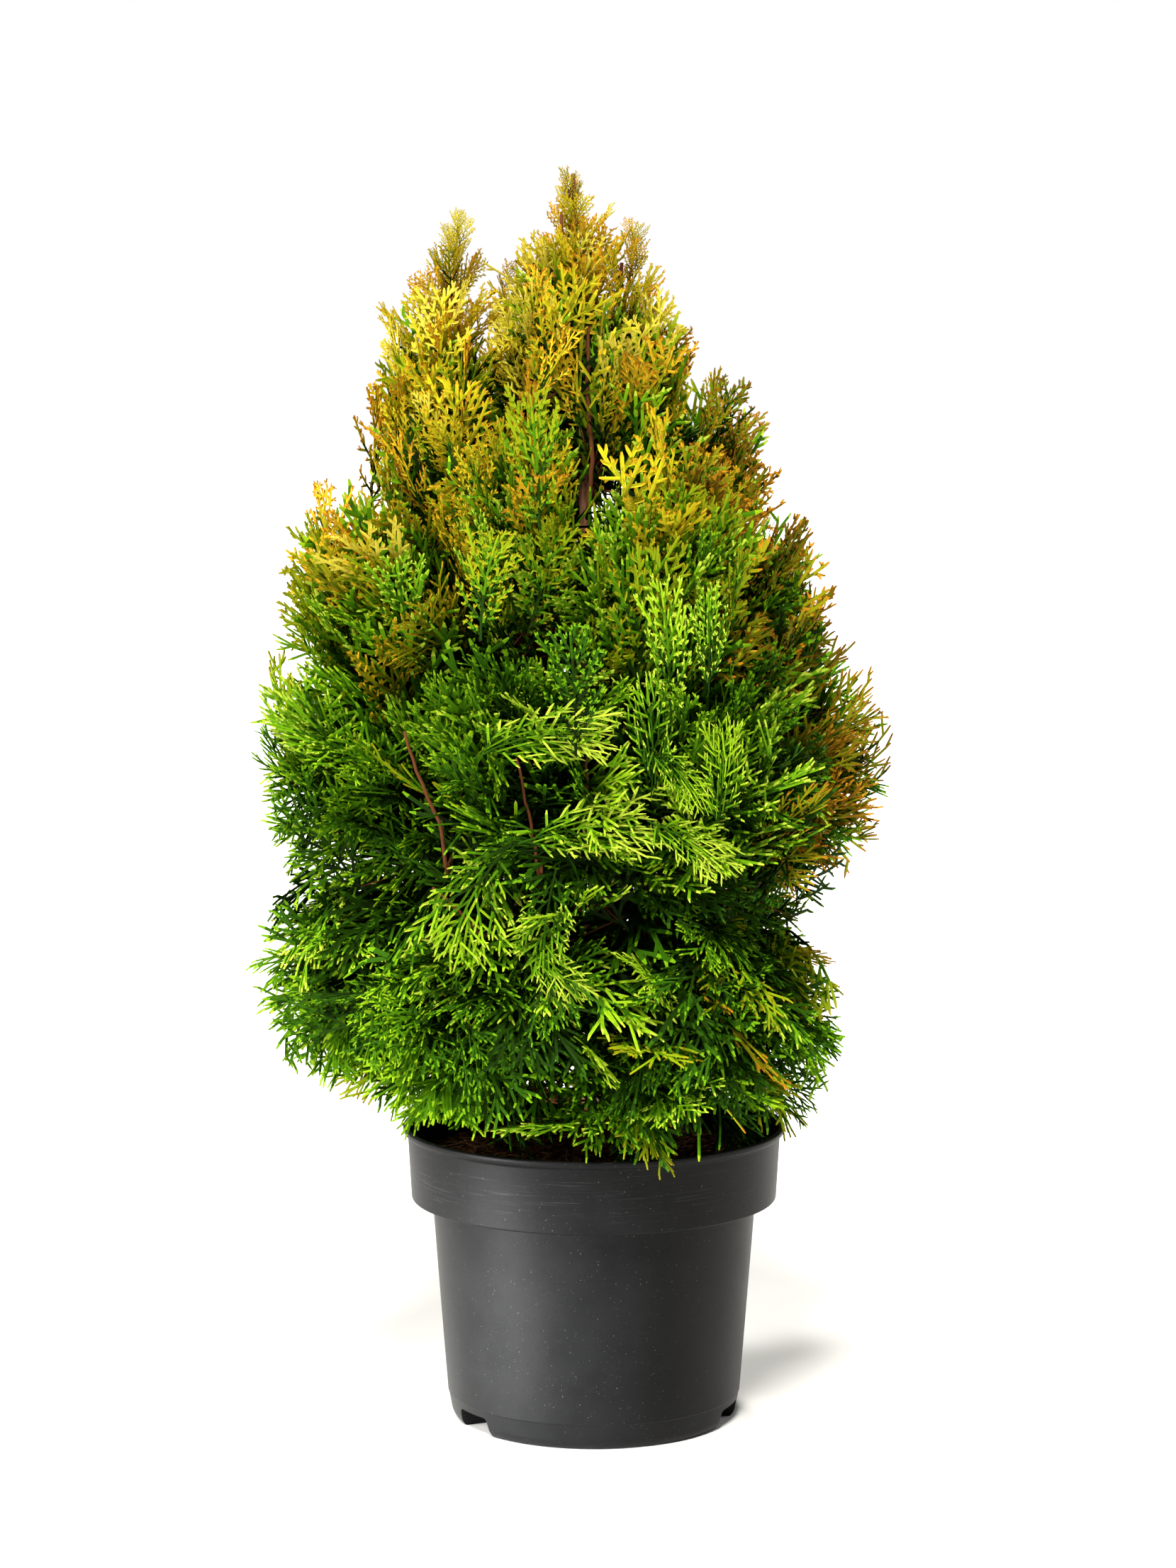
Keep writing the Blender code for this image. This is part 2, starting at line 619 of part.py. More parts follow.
def surface_spots(space):
    """Evenly spread spots on the side of the mass's space that faces out of the crown."""
    x, y, z = space.reach**AREA_POWER
    area = 4 * math.pi * ((x * y + x * z + y * z) / 3) ** (1 / AREA_POWER)
    count = round(area * (NARROW_SPOTS_PER_M2 if narrow(space) else SPOTS_PER_M2))
    heights = 1 - 2 * (np.arange(count) + 0.5) / count
    rings, turns = np.sqrt(1 - heights**2), GOLDEN_ANGLE * np.arange(count)
    ways = np.column_stack((rings * np.cos(turns), rings * np.sin(turns), heights))
    outer = ways @ space.way_out_of_crown() > (-1.0 if narrow(space) else INNER_LIMIT)
    return (space.centre + ways * space.edge_along(ways)[:, None] * TIP_SHARE)[outer]


def fitted_spray(space, root, direction, roll, longest, taken):
    """The longest spray that fits along a direction and crosses none taken, rolled another way
    where that makes it longer, or None."""
    level = side_of(direction)
    above = np.cross(direction, level)
    best = None
    for turn in SPRAY_TURNS:
        side = unit(level * math.cos(roll + turn) + above * math.sin(roll + turn))
        length = min(longest, space.way_out(root, direction, longest))
        while length > (best[3] * SPRAY_GAIN if best else SPRAY_SHORTEST):
            spray = (root, direction, side, length)
            corners = np.array(spray_points(*spray)[1:])
            halfway = (corners + np.roll(corners, 1, axis=0)) / 2
            if space.holds(np.vstack((corners, halfway)), LEAF_CLEARANCE):
                tree = spray_tree(spray)
                if not any(tree.overlap(other) for other in taken):
                    best = spray
                    break
            length *= SPRAY_SHRINK
    return best


def stem_of(space, limbs):
    """The mass's own stem: its points, radii and first plane, from its bough's tip or the
    trunk, a clearance away, to the middle of the mass."""
    mass = space.mass
    if not mass.has_bough:
        radius = TWIG_RADIUS
        start, plane = leaving_trunk(mass.leaves_z, space.centre - trunk_point(mass.leaves_z), radius)
        middle = start + plane * STEM_RUN * STEM_LEAD + np.array([0.0, 0.0, STEM_RUN])
    else:
        path, radii = limbs[f"bough_{space.name}"]
        plane = unit(path[-1] - path[-2])
        start = path[-1] + plane * CLEARANCE
        radius = radii[-1]
        middle = start + plane * STEM_RUN
    rise = NARROW_STEM_TOP if narrow(space) else STEM_TOP
    end = space.centre + np.array([0.0, 0.0, rise * mass.reach_z])
    path = bezier(start, middle, end, STEM_SEGMENTS + 1)
    return path, np.linspace(radius, STEM_TIP_RADIUS, STEM_SEGMENTS + 1), plane


def build_core(space):
    """The dense heart of a mass: its space at a smaller scale, cut clear of the limbs."""
    bm = bmesh.new()
    bmesh.ops.create_icosphere(bm, subdivisions=CORE_SUBDIVISIONS, radius=1.0)
    ways = np.array([unit(np.array(vert.co)) for vert in bm.verts])
    corners = np.array([[vert.index for vert in face.verts] for face in bm.faces])
    aside = 1.0 - (ways @ space.way_out_of_crown()) ** 2
    share = CORE_SHARE_OUT + (CORE_SHARE_ASIDE - CORE_SHARE_OUT) * aside
    lengths = (NARROW_CORE_SHARE if narrow(space) else share) * space.edge_along(ways)
    steps = range(CORE_SAMPLES + 1)
    shares = [(i, j, CORE_SAMPLES - i - j) for i in steps for j in steps if i + j <= CORE_SAMPLES]
    shares = np.array(shares) / CORE_SAMPLES
    for _ in range(CORE_TRIES):
        places = space.centre + ways * lengths[:, None]
        samples = (shares @ places[corners]).reshape(-1, 3)
        room = np.minimum(space.limb_room(samples), space.pot_room(samples))
        tight = room.reshape(len(corners), -1).min(axis=1) < CORE_CLEARANCE
        if not tight.any():
            break
        lengths[np.unique(corners[tight])] *= CORE_SHRINK
    for vert, place in zip(bm.verts, space.centre + ways * lengths[:, None]):
        vert.co = place
    return new_object(f"{space.name}_core", bm)


def swung_sprays(space, path, spray, roll, avoided, rng):
    """The sprays to either side of a twig that ends in a spray."""
    found, trees = [], []
    for along, angle in SIDE_SPRAYS:
        angle = math.radians(angle)
        swung = unit(spray[1] * math.cos(angle) + spray[2] * math.sin(angle))
        root = path[1] + (path[2] - path[1]) * along
        tilt = roll + rng.uniform(-ROLL_SPREAD, ROLL_SPREAD)
        side_spray = fitted_spray(space, root, swung, tilt, SPRAY_LENGTH, [*avoided, *trees])
        if side_spray is not None:
            found.append(side_spray)
            trees.append(spray_tree(side_spray))
    return found, trees


def grow_on_twigs(space, stem, rng):
    """Every twig of a mass as (points, radii), and every spray as blade() takes it: one at the
    end of each twig and one to either side of it. None crosses another."""
    twigs, sprays, taken = [], [], []
    for spot in surface_spots(space):
        direction = spray_direction(space, spot, rng)
        length = SPRAY_LENGTH * rng.uniform(0.9, 1.1)
        root = spot - direction * length
        if space.depth(root[None])[0] < TWIG_CLEARANCE:
            root = space.centre + (spot - space.centre) * ROOT_SHARE
            direction = unit(spot - root)
        roll = rng.uniform(-ROLL_SPREAD, ROLL_SPREAD)
        spray = fitted_spray(space, root, direction, roll, length * SPRAY_MOST_STRETCH, taken)
        if spray is None:
            continue
        base = stem[1 + int(np.argmin(np.linalg.norm(stem[1:] - root, axis=1)))]
        path = bezier(base, (base + root) / 2 - direction * TWIG_SAG, root + direction * SINK, 3)
        checked = np.array([path[1], path[2], (path[0] + path[1]) / 2, (path[1] + path[2]) / 2])
        strip = limb_tree(path, TESTED_FROM)
        if not space.holds(checked, TWIG_CLEARANCE) or any(strip.overlap(tree) for tree in taken):
            continue
        tree = spray_tree(spray)
        beside, trees = swung_sprays(space, path, spray, roll, [tree, *taken], rng)
        twigs.append((path, np.array(TWIG_TAPER) * TWIG_RADIUS))
        sprays += [spray, *beside]
        taken += [strip, tree, *trees]
    return twigs, sprays


def grow_on_stem(space, stem, rng):
    """The sprays of a narrow mass, which stand straight on its stem."""
    sprays, taken = [], []
    runs = zip(stem[1:], stem[2:])
    bases = np.array([low + (high - low) * share for low, high in runs for share in BASE_SHARES])
    bases = bases[space.depth(bases) > LEAF_CLEARANCE]
    for spot in surface_spots(space):
        sought = spot - spray_direction(space, spot, rng) * SPRAY_LENGTH
        base = bases[int(np.argmin(np.linalg.norm(bases - sought, axis=1)))]
        direction = unit(spot - base)
        roll = rng.uniform(-2 * ROLL_SPREAD, 2 * ROLL_SPREAD)
        spray = fitted_spray(space, base, direction, roll, SPRAY_LENGTH * SPRAY_MOST_STRETCH, taken)
        if spray is not None:
            sprays.append(spray)
            taken.append(spray_tree(spray))
    return [], sprays


def joined_mesh(pieces):
    """One mesh from pieces that overlap, by one union."""
    whole = pieces[0]
    group = bpy.data.collections.new("pieces")
    bpy.context.scene.collection.children.link(group)
    for piece in pieces[1:]:
        bpy.context.scene.collection.objects.unlink(piece)
        group.objects.link(piece)
    modifier = whole.modifiers.new("Union", "BOOLEAN")
    modifier.operation = "UNION"
    modifier.operand_type = "COLLECTION"
    modifier.collection = group
    modifier.solver = "MANIFOLD"
    graph = bpy.context.evaluated_depsgraph_get()
    mesh = bpy.data.meshes.new_from_object(whole.evaluated_get(graph))
    for piece in [*group.objects, whole]:
        bpy.data.objects.remove(piece, do_unlink=True)
    bpy.data.collections.remove(group)
    return mesh


def connected_parts(bm):
    """The sets of vertices that edges join."""
    left, parts = set(bm.verts), []
    while left:
        todo = [left.pop()]
        part = set(todo)
        while todo:
            near = {vert for edge in todo.pop().link_edges for vert in edge.verts} & left
            left -= near
            part |= near
            todo.extend(near)
        parts.append(part)
    return sorted(parts, key=len)


def cleaned(mesh):
    """Triangulates a mesh and keeps its largest part. Returns whether it is closed."""
    bm = bmesh.new()
    bm.from_mesh(mesh)
    for part in connected_parts(bm)[:-1]:
        bmesh.ops.delete(bm, geom=list(part), context="VERTS")
    bmesh.ops.triangulate(bm, faces=bm.faces)
    closed = all(len(edge.link_faces) == 2 for edge in bm.edges)
    closed = closed and all(vert.is_manifold for vert in bm.verts)
    bm.to_mesh(mesh)
    bm.free()
    return closed


def build_mass(name, limbs, foliage):
    """Grows a mass, and grows it again from the next seed where its union isn't closed."""
    space = Space(name, limbs)
    stem, radii, plane = stem_of(space, limbs)
    for attempt in range(MOST_ATTEMPTS):
        rng = random.Random(f"{SEED}-{name}-{attempt}")
        twigs, sprays = (grow_on_stem if narrow(space) else grow_on_twigs)(space, stem, rng)
        pieces = [tube(f"{name}_stem", stem, radii, STEM_SIDES, plane), build_core(space)]
        for number, twig in enumerate(twigs):
            pieces.append(tube(f"{name}_twig_{number}", *twig, TWIG_SIDES))
        for number, spray in enumerate(sprays):
            pieces.append(blade(f"{name}_spray_{number}", *spray))
        mesh = joined_mesh(pieces)
        if cleaned(mesh):
            break
    mesh.materials.clear()
    mesh.materials.append(foliage)
    made = bpy.data.objects.new(f"foliage_{name}", mesh)
    bpy.context.scene.collection.objects.link(made)


def main():
    clear_scene()
    plastic = material("pot_plastic", (0.035, 0.036, 0.038), 0.42)
    earth = material("compost", (0.045, 0.025, 0.014), 0.95)
    bark = material("bark", (0.16, 0.065, 0.030), 0.85)
    gold = material("foliage_gold", (0.42, 0.33, 0.035), 0.6)
    lime = material("foliage_lime", (0.20, 0.33, 0.02), 0.6)
    green = material("foliage_green", (0.05, 0.17, 0.015), 0.6)
    build_pot(plastic)
    build_compost(earth)
    limbs = build_limbs(bark)
    for name, mass in MASSES.items():
        above_lime = gold if mass.z > GOLD_ABOVE_Z else lime
        build_mass(name, limbs, above_lime if mass.z > LIME_ABOVE_Z else green)


main()
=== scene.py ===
"""The looks of the potted thuja: bark, sprays of scale leaves, compost and moulded pot.

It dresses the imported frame. The trunk, boughs and masses of foliage follow the same named sizes
and the same rule as the solids: a mass keeps to a rounded space that is cut flat towards each
neighbour. Its sprays are whole flat fronds, with a midrib, side shoots and blunt branchlets.
Lengths are metres, azimuths are degrees from the front, growing towards +X.
"""

import math
import random
from collections import namedtuple

import bmesh
import bpy
import numpy as np
from mathutils import Matrix, Vector


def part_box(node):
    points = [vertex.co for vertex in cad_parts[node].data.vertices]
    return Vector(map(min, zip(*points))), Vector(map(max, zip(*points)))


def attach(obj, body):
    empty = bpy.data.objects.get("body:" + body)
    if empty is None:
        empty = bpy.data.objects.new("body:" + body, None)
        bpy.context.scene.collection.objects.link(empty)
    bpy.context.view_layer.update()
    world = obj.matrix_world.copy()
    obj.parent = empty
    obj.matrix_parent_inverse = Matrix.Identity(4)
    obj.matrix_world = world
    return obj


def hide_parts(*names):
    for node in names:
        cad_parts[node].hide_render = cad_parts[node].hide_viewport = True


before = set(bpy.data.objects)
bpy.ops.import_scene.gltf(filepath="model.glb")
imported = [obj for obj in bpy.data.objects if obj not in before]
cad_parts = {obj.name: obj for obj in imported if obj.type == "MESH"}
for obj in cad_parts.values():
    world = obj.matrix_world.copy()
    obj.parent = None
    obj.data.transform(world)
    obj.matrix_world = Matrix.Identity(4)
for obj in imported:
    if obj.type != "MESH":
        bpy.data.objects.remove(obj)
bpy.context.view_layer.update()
SEED = 31

# ---- sizes

# Pot, read from its node where the node's box tells it
POT_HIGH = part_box("pot")[1]
POT_HEIGHT = POT_HIGH.z
RIM_RADIUS = POT_HIGH.x
WALL = 0.0018
LIP_HEIGHT = 0.0055
COLLAR_TOP_RADIUS = 0.1169
COLLAR_FOOT_RADIUS = 0.1146
COLLAR_FOOT_Z = 0.1393
BODY_TOP_RADIUS = 0.1017
BODY_FOOT_RADIUS = 0.0922
BODY_FOOT_Z = 0.0165
BASE_RADIUS = 0.0853
POT_STEPS = 192
FILLET_STEPS = 5
SHARP_EDGE = 32  # degrees
NOTCH_AZIMUTHS = (-56.4, 70.5, 187.0)
NOTCH_HALF_WIDTH = 10.0  # degrees
NOTCH_HEIGHT = 0.0122
NOTCH_ROUND = 0.0045
NOTCH_SHOULDER = 0.00675
NOTCH_FLARE = 0.0045
NOTCH_INNER_RADIUS = 0.060
NOTCH_CUT_DEPTH = 0.01
NOTCH_SIDE_FILLET = 0.0020
CAVITY_RISE = 0.01  # of the block that hollows the pot, over the lip
SLOT_RADII = (0.066, 0.078)
SLOT_HALF_WIDTH = 0.004

# Compost
COMPOST_TOP_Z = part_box("compost")[1].z
COMPOST_EDGE_Z = 0.1640
COMPOST_EDGE_RADIUS = 0.1132
COMPOST_DEPTH = 0.020  # of its piece, under its edge
COMPOST_TAPER = 0.985
COMPOST_RINGS, COMPOST_STEPS = 90, 260
MOUND_SLOPE, MOUND_RADIUS = 1.25, 0.09
CLODS = (0.0016, 260.0)  # height, and radians in a metre
CRUMBS = (0.0009, 900.0)
BARE_RADIUS, BARE_FADE = 0.018, 0.02  # round the trunk, where the compost is smooth
COMPOST_SUNK = 0.0006
WAVE_SHARES = (1.0, 0.8, 0.7, 0.5, 0.5, 0.4, 0.4, 0.3)
WAVE_LEVEL = 4.6
LITTER_COUNT = 1500
LITTER_LENGTHS = (0.004, 0.017)
LITTER_HALF_WIDTH = 0.00055
LITTER_TAPER = (0.7, 1.0, 0.9, 0.4)
LITTER_HEIGHTS = (0.0004, 0.0026)
LITTER_CLEARANCE = 0.002

# Trunk, as in the solids
CLEARANCE = 0.0003
FACET_CLEARANCE = 0.0005
BARK_ENTRY = 3 * FACET_CLEARANCE  # how far a bough's bark reaches towards the trunk
TRUNK_FOOT_Z = COMPOST_TOP_Z + CLEARANCE
TRUNK_TIP_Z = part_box("trunk")[1].z
TRUNK_FOOT_RADIUS = 0.0092
TRUNK_TIP_RADIUS = 0.0012
FLARE_RADIUS = 0.0055
FLARE_HEIGHT = 0.011
TRUNK_LEAN = -0.013
TRUNK_BEND = 0.005
TRUNK_RINGS = 13
TRUNK_SIDES = 8
TRUNK_SUNK = 0.004  # how far the bark starts below the trunk's foot
TRUNK_RING_STEP = 0.0035
TRUNK_BARK_SIDES = 20
BOUGH_BARK_SIDES = 12

# Boughs and stems, as in the solids
BOUGH_SHARE = 0.40
BOUGH_TAPER = 0.55
BOUGH_END = 0.80
BOUGH_ENTRY_DROP = 1.1
BOUGH_SPREAD = 0.62
BOUGH_LEAST_RADIUS = 0.0016
BOUGH_RISE_SHARE = 0.42
STEM_RUN = 0.020
STEM_TOP = 0.35
NARROW_STEM_TOP = 0.62
NARROW_REACH = 0.061
STEM_LEAD = 0.6
ROUND_POWER = 2.0
STEEP_POWER = 1.5
NARROW_POWER = 1.3
STEEP_RISE = 66
CELL_GAP = 0.0016
TWIG_RADIUS = 0.0016
TWIG_THINNING = 0.7
LIMB_RING_STEP = 0.005
RIDGE_DEPTH = 0.085  # of a limb's radius
RIDGE_WAVES = ((2, 0.35), (3, 0.30), (5, 0.35), (7, 0.30), (9, 0.25))  # round a limb, and share
RIDGE_TWIST = 45  # radians in a metre, at most
RIDGE_DRIFT = 0.9
DRIFT_PITCHES = (40, 160)  # radians in a metre

Mass = namedtuple("Mass", "x y z reach_x reach_y reach_z rise leaves_z")
MASSES = {
    "leader_left": Mass(-0.020, -0.014, 0.698, 0.036, 0.042, 0.084, 84, 0.648),
    "leader_right": Mass(0.017, -0.010, 0.664, 0.042, 0.048, 0.092, 78, 0.590),
    "leader_back": Mass(-0.028, 0.040, 0.642, 0.056, 0.052, 0.096, 78, 0.576),
    "second_leader": Mass(-0.093, -0.006, 0.640, 0.045, 0.052, 0.120, 82, 0.300),
    "right_crest": Mass(0.058, 0.030, 0.594, 0.056, 0.064, 0.110, 74, 0.420),
    "centre_fan": Mass(-0.040, -0.066, 0.580, 0.060, 0.058, 0.114, 78, 0.440),
    "left_shoulder": Mass(-0.118, -0.016, 0.522, 0.076, 0.084, 0.122, 70, 0.380),
    "front_shoulder": Mass(0.036, -0.082, 0.544, 0.066, 0.070, 0.122, 74, 0.400),
    "right_shoulder": Mass(0.080, -0.012, 0.514, 0.068, 0.080, 0.120, 68, 0.360),
    "back_left_shoulder": Mass(-0.058, 0.082, 0.548, 0.088, 0.080, 0.122, 70, 0.370),
    "back_right_shoulder": Mass(0.044, 0.098, 0.526, 0.082, 0.076, 0.120, 68, 0.350),
    "left_side": Mass(-0.131, -0.030, 0.424, 0.079, 0.088, 0.114, 52, 0.270),
    "front_side": Mass(-0.034, -0.120, 0.416, 0.082, 0.076, 0.124, 50, 0.250),
    "front_right_side": Mass(0.064, -0.092, 0.410, 0.080, 0.082, 0.120, 48, 0.285),
    "right_side": Mass(0.103, 0.016, 0.414, 0.083, 0.090, 0.112, 50, 0.262),
    "back_side": Mass(0.026, 0.118, 0.410, 0.094, 0.080, 0.122, 50, 0.292),
    "back_left_side": Mass(-0.088, 0.084, 0.414, 0.094, 0.092, 0.122, 50, 0.255),
    "left_skirt": Mass(-0.130, -0.010, 0.282, 0.085, 0.094, 0.084, 16, 0.212),
    "front_left_skirt": Mass(-0.062, -0.096, 0.264, 0.086, 0.084, 0.092, 4, 0.207),
    "front_right_skirt": Mass(0.038, -0.100, 0.258, 0.084, 0.080, 0.092, 2, 0.214),
    "right_skirt": Mass(0.086, -0.016, 0.252, 0.070, 0.088, 0.086, 10, 0.209),
    "back_right_skirt": Mass(0.060, 0.086, 0.260, 0.086, 0.084, 0.090, 10, 0.218),
    "back_left_skirt": Mass(-0.064, 0.092, 0.266, 0.090, 0.084, 0.090, 12, 0.206),
}
ON_TRUNK = ("leader_left", "leader_right", "leader_back")  # the masses that have no bough
BOUGH_BOWS = {"second_leader": (-0.006, 0.042, 0.020)}

# Fronds: the flat sprays of scale leaves. Shares are of a frond's length.
#   shoots: side shoots on the midrib; angle: their degrees from it; width: of the whole frond;
#   branchlet: the length of a branchlet; every: its spacing along a shoot; turn: its degrees
#   from the shoot; half: its half width in metres; tip: the length of its lighter tip;
#   forks: the share of branchlets that fork; ridge: how far its ridge stands up; density:
#   fronds per square metre of a mass
Frond = namedtuple("Frond", "shoots angle width branchlet every turn half tip forks ridge density")
FROND_LENGTH = 0.090  # at which the sizes below are drawn
FRONDS = {
    "plume": Frond(14, 43, 0.56, 0.085, 0.052, (36, 58), 0.00098, 0.0026, 0.55, 0.0010, 960),
    "fan": Frond(11, 40, 0.70, 0.200, 0.070, (26, 48), 0.00088, 0.0040, 0.3, 0.0010, 800),
    "inner": Frond(8, 40, 0.60, 0.180, 0.120, (28, 46), 0.00120, 0.0040, 0.0, 0.0, 0),
}
FROND_VARIANTS = 7
SHOOT_WIDENING = 1.1  # of a shoot's width over its branchlets'
BLUNT_SHARE = 0.45  # of a strand's width, at its end
LEAST_REACH = 1e-9
CORE_SHARE = 0.42  # of a frond's length, with the darker tints, partly the plant's older growth and partly painted shade

# How a frond grows: pairs are the ends of a range, angles are radians
MIDRIB_WAVES = (-0.2, 0.2)
MIDRIB_STOPS = (0.2, CORE_SHARE, 0.6, 0.78, 0.92)
FIRST_SHOOT, SHOOT_SPAN, LEAST_SHARE = 0.06, 0.88, 0.04  # of the midrib
SHOOT_JITTER = (-0.18, 0.18)  # of the space between shoots
SHOOT_OPENING, SHOOT_CLOSING = 1.15, 0.35  # of the angle, at the foot and lost on the way up
ANGLE_JITTER = (0.86, 1.14)
SWELL_SHIFT, SWELL_PACE, SWELL_POWER = 0.16, 0.80, 0.8
SHOOT_REACH = 0.60  # of the frond's width
SHOOT_LIMIT = 1.08
SHOOT_LENGTHS = (0.74, 1.16)
SHOOT_LIFTS = (-0.2, 0.2)
SHOOT_BENDS = (0.05, 0.55)
SHOOT_LEAST_BODY, BRANCHLET_LEAST_BODY = 0.6, 0.5  # the share before the lighter tip
BRANCHLET_STARTS, BRANCHLET_GAPS = (0.6, 1.1), (0.75, 1.2)  # of the spacing
BRANCHLET_END = 0.95
BRANCHLET_LEAST, BRANCHLET_GAIN = 0.55, 0.75
BRANCHLET_LENGTHS = (0.7, 1.25)
BRANCHLET_LIFT, BRANCHLET_LIFTS = 0.6, (-0.24, 0.24)
BRANCHLET_BENDS = (0.1, 0.8)
FORK_LENGTHS = (0.0026, 0.0042)
FORK_PLACES, FORK_TURNS, FORK_WIDTH = (0.35, 0.6), (0.6, 1.0), 0.9
STRAIGHT = 1e-3  # radians, below which a frond's bend is left out

# Where the fronds of a mass go
INNER_SHELLS = ((0.80, 700.0), (0.58, 560.0))  # share of the way out, spots per square metre
AREA_POWER = 1.6  # in the usual estimate of an ellipsoid's area
PLUME_RISE = 60.0  # degrees, above which a mass has plumes
FLAT_SHARE = 0.98  # of the way to the flat side towards a neighbour, where sprays may end
TIP_SHARE = 0.99
TIP_SCATTER = 0.15  # of the way out, by which tips fall short
OUTER_LIMIT = -0.30  # cosine, from the way out of the crown, beyond which no spray ends
INNER_LIMIT = -0.60
OUT_PULL = 0.25  # of a spray's way that goes straight out of its mass
RISE_SPREAD = 14.0  # degrees, as the rises below
RISE_HEIGHTS = (0.18, 0.26, 0.34, 0.42, 0.50, 0.58, 0.70)
RISES = (-12.0, 0.0, 12.0, 32.0, 54.0, 68.0, 80.0)
DROOP_HEIGHTS = (0.24, 0.36, 0.46, 0.60)
DROOPS = (-0.7, -0.45, 0.1, 0.35)  # radians, below 0 where a spray's tip bends down
TURN_SPREADS = (0.95, 0.25)  # radians about the trunk, of fans and of plumes
PLUME_HEIGHTS = (0.42, 0.56)  # between which fans give way to plumes
WAY_SPREAD = 0.22
ROLL_SPREAD = 0.75
FROND_LENGTHS = (0.062, 0.104)
NARROW_LENGTH = 0.8  # of those, in a narrow mass
CURLS = (-0.5, 0.5)
PROUD = 0.006  # how far a branchlet may stand out of the solids' space
LOW_PROUD = 0.002
POT_CLEARANCE = 0.0015
TOP_Z = 0.7815
FRONT_Y, FRONT_STEP = -0.22, 0.001  # where the search for the crown's front starts
PATCH_PITCH = 45.0  # radians in a metre, of the patches of like tints
GOLDEN_ANGLE = math.pi * (3.0 - math.sqrt(5.0))
SPRAY_TWIG_RADII = (0.0009, 0.0009 * 0.55)
SPRAY_TWIG_LEAD, SPRAY_TWIG_SAG, SPRAY_TWIG_OVERLAP = 0.02, 0.006, 0.004
GOLD_Z, LIME_Z = 0.62, 0.50  # above which a mass's slot name is foliage_gold or foliage_lime

# Gaps in the front of the foliage, through which the limbs and the compost show: a line's foot
# and tip as (x, z), the distance from it that is bare, and how far back it is bare
Gap = namedtuple("Gap", "foot tip radius back")
GAPS = (
    Gap((-0.004, 0.570), (-0.003, 0.672), 0.0050, -0.036),
    Gap((-0.088, 0.370), (-0.110, 0.438), 0.0060, -0.118),
    Gap((-0.034, 0.368), (-0.044, 0.426), 0.0065, -0.152),
    Gap((-0.003, 0.396), (0.001, 0.440), 0.0060, -0.144),
    Gap((-0.076, 0.334), (-0.092, 0.348), 0.0050, -0.122),
    Gap((-0.112, 0.186), (-0.066, 0.190), 0.0160, 0.080),
    Gap((0.066, 0.186), (0.078, 0.200), 0.0150, 0.040),
)

# Stems that show in those gaps: their mass, y, radius, and (x, z) from foot to tip
ShownStem = namedtuple("ShownStem", "mass y radius points")
SHOWN_STEMS = (
    ShownStem("leader_right", -0.036, 0.0018,
              ((-0.004, 0.566), (-0.001, 0.604), (-0.004, 0.640), (-0.003, 0.684))),
    ShownStem("left_side", -0.122, 0.0015,
              ((-0.087, 0.360), (-0.090, 0.388), (-0.104, 0.418), (-0.112, 0.444))),
    ShownStem("front_side", -0.156, 0.0014,
              ((-0.032, 0.360), (-0.035, 0.384), (-0.040, 0.408), (-0.045, 0.432))),
    ShownStem("front_side", -0.148, 0.0013,
              ((-0.003, 0.386), (-0.004, 0.410), (-0.005, 0.428), (0.003, 0.446))),
    ShownStem("front_side", -0.126, 0.0013,
              ((-0.066, 0.322), (-0.078, 0.336), (-0.087, 0.345), (-0.096, 0.352))),
)
SHOWN_RINGS, SHOWN_THINNING, SHOWN_WOBBLE = 24, 0.6, 0.0006

# Sprays that lie flat to the front of the crown: their mass, root and tip as (x, z), the
# radians that they arch by, their share of a frond's width, their style and their kind
Facing = namedtuple("Facing", "mass root tip arch wide style kind")
# The bright and lime kinds here are partly painted light on the lit front of the crown.
FACING_SPRAYS = (
    Facing("front_side", (-0.062, 0.408), (0.006, 0.446), -0.7, 0.60, "fan", "bright"),
    Facing("front_side", (-0.040, 0.366), (0.030, 0.392), -0.5, 0.65, "fan", "bright"),
    Facing("front_side", (-0.030, 0.374), (-0.084, 0.316), 0.5, 0.80, "fan", "lime"),
    Facing("front_side", (-0.012, 0.368), (-0.030, 0.306), 0.3, 0.75, "fan", "leaf"),
    Facing("front_side", (-0.046, 0.310), (-0.010, 0.288), -0.5, 0.90, "fan", "bright"),
    Facing("front_shoulder", (-0.018, 0.436), (-0.014, 0.506), 0.2, 0.85, "plume", "green"),
    Facing("front_shoulder", (0.036, 0.452), (0.038, 0.534), 0.2, 0.60, "plume", "lime"),
    Facing("front_shoulder", (0.060, 0.470), (0.066, 0.530), 0.2, 0.60, "plume", "leaf"),
    Facing("front_right_side", (0.026, 0.410), (0.030, 0.476), 0.2, 0.60, "fan", "leaf"),
    Facing("front_right_side", (0.062, 0.392), (0.074, 0.450), 0.3, 0.60, "fan", "lime"),
    Facing("front_right_side", (0.020, 0.430), (0.062, 0.404), -0.6, 0.70, "fan", "lime"),
    Facing("front_right_side", (0.024, 0.384), (0.076, 0.366), -0.5, 0.75, "fan", "bright"),
    Facing("centre_fan", (-0.036, 0.562), (-0.038, 0.642), 0.1, 0.80, "plume", "fringed"),
    Facing("centre_fan", (-0.058, 0.500), (-0.056, 0.560), -0.2, 0.80, "plume", "fringed"),
)
FACING_DEPTH = 0.008  # behind the crown's front

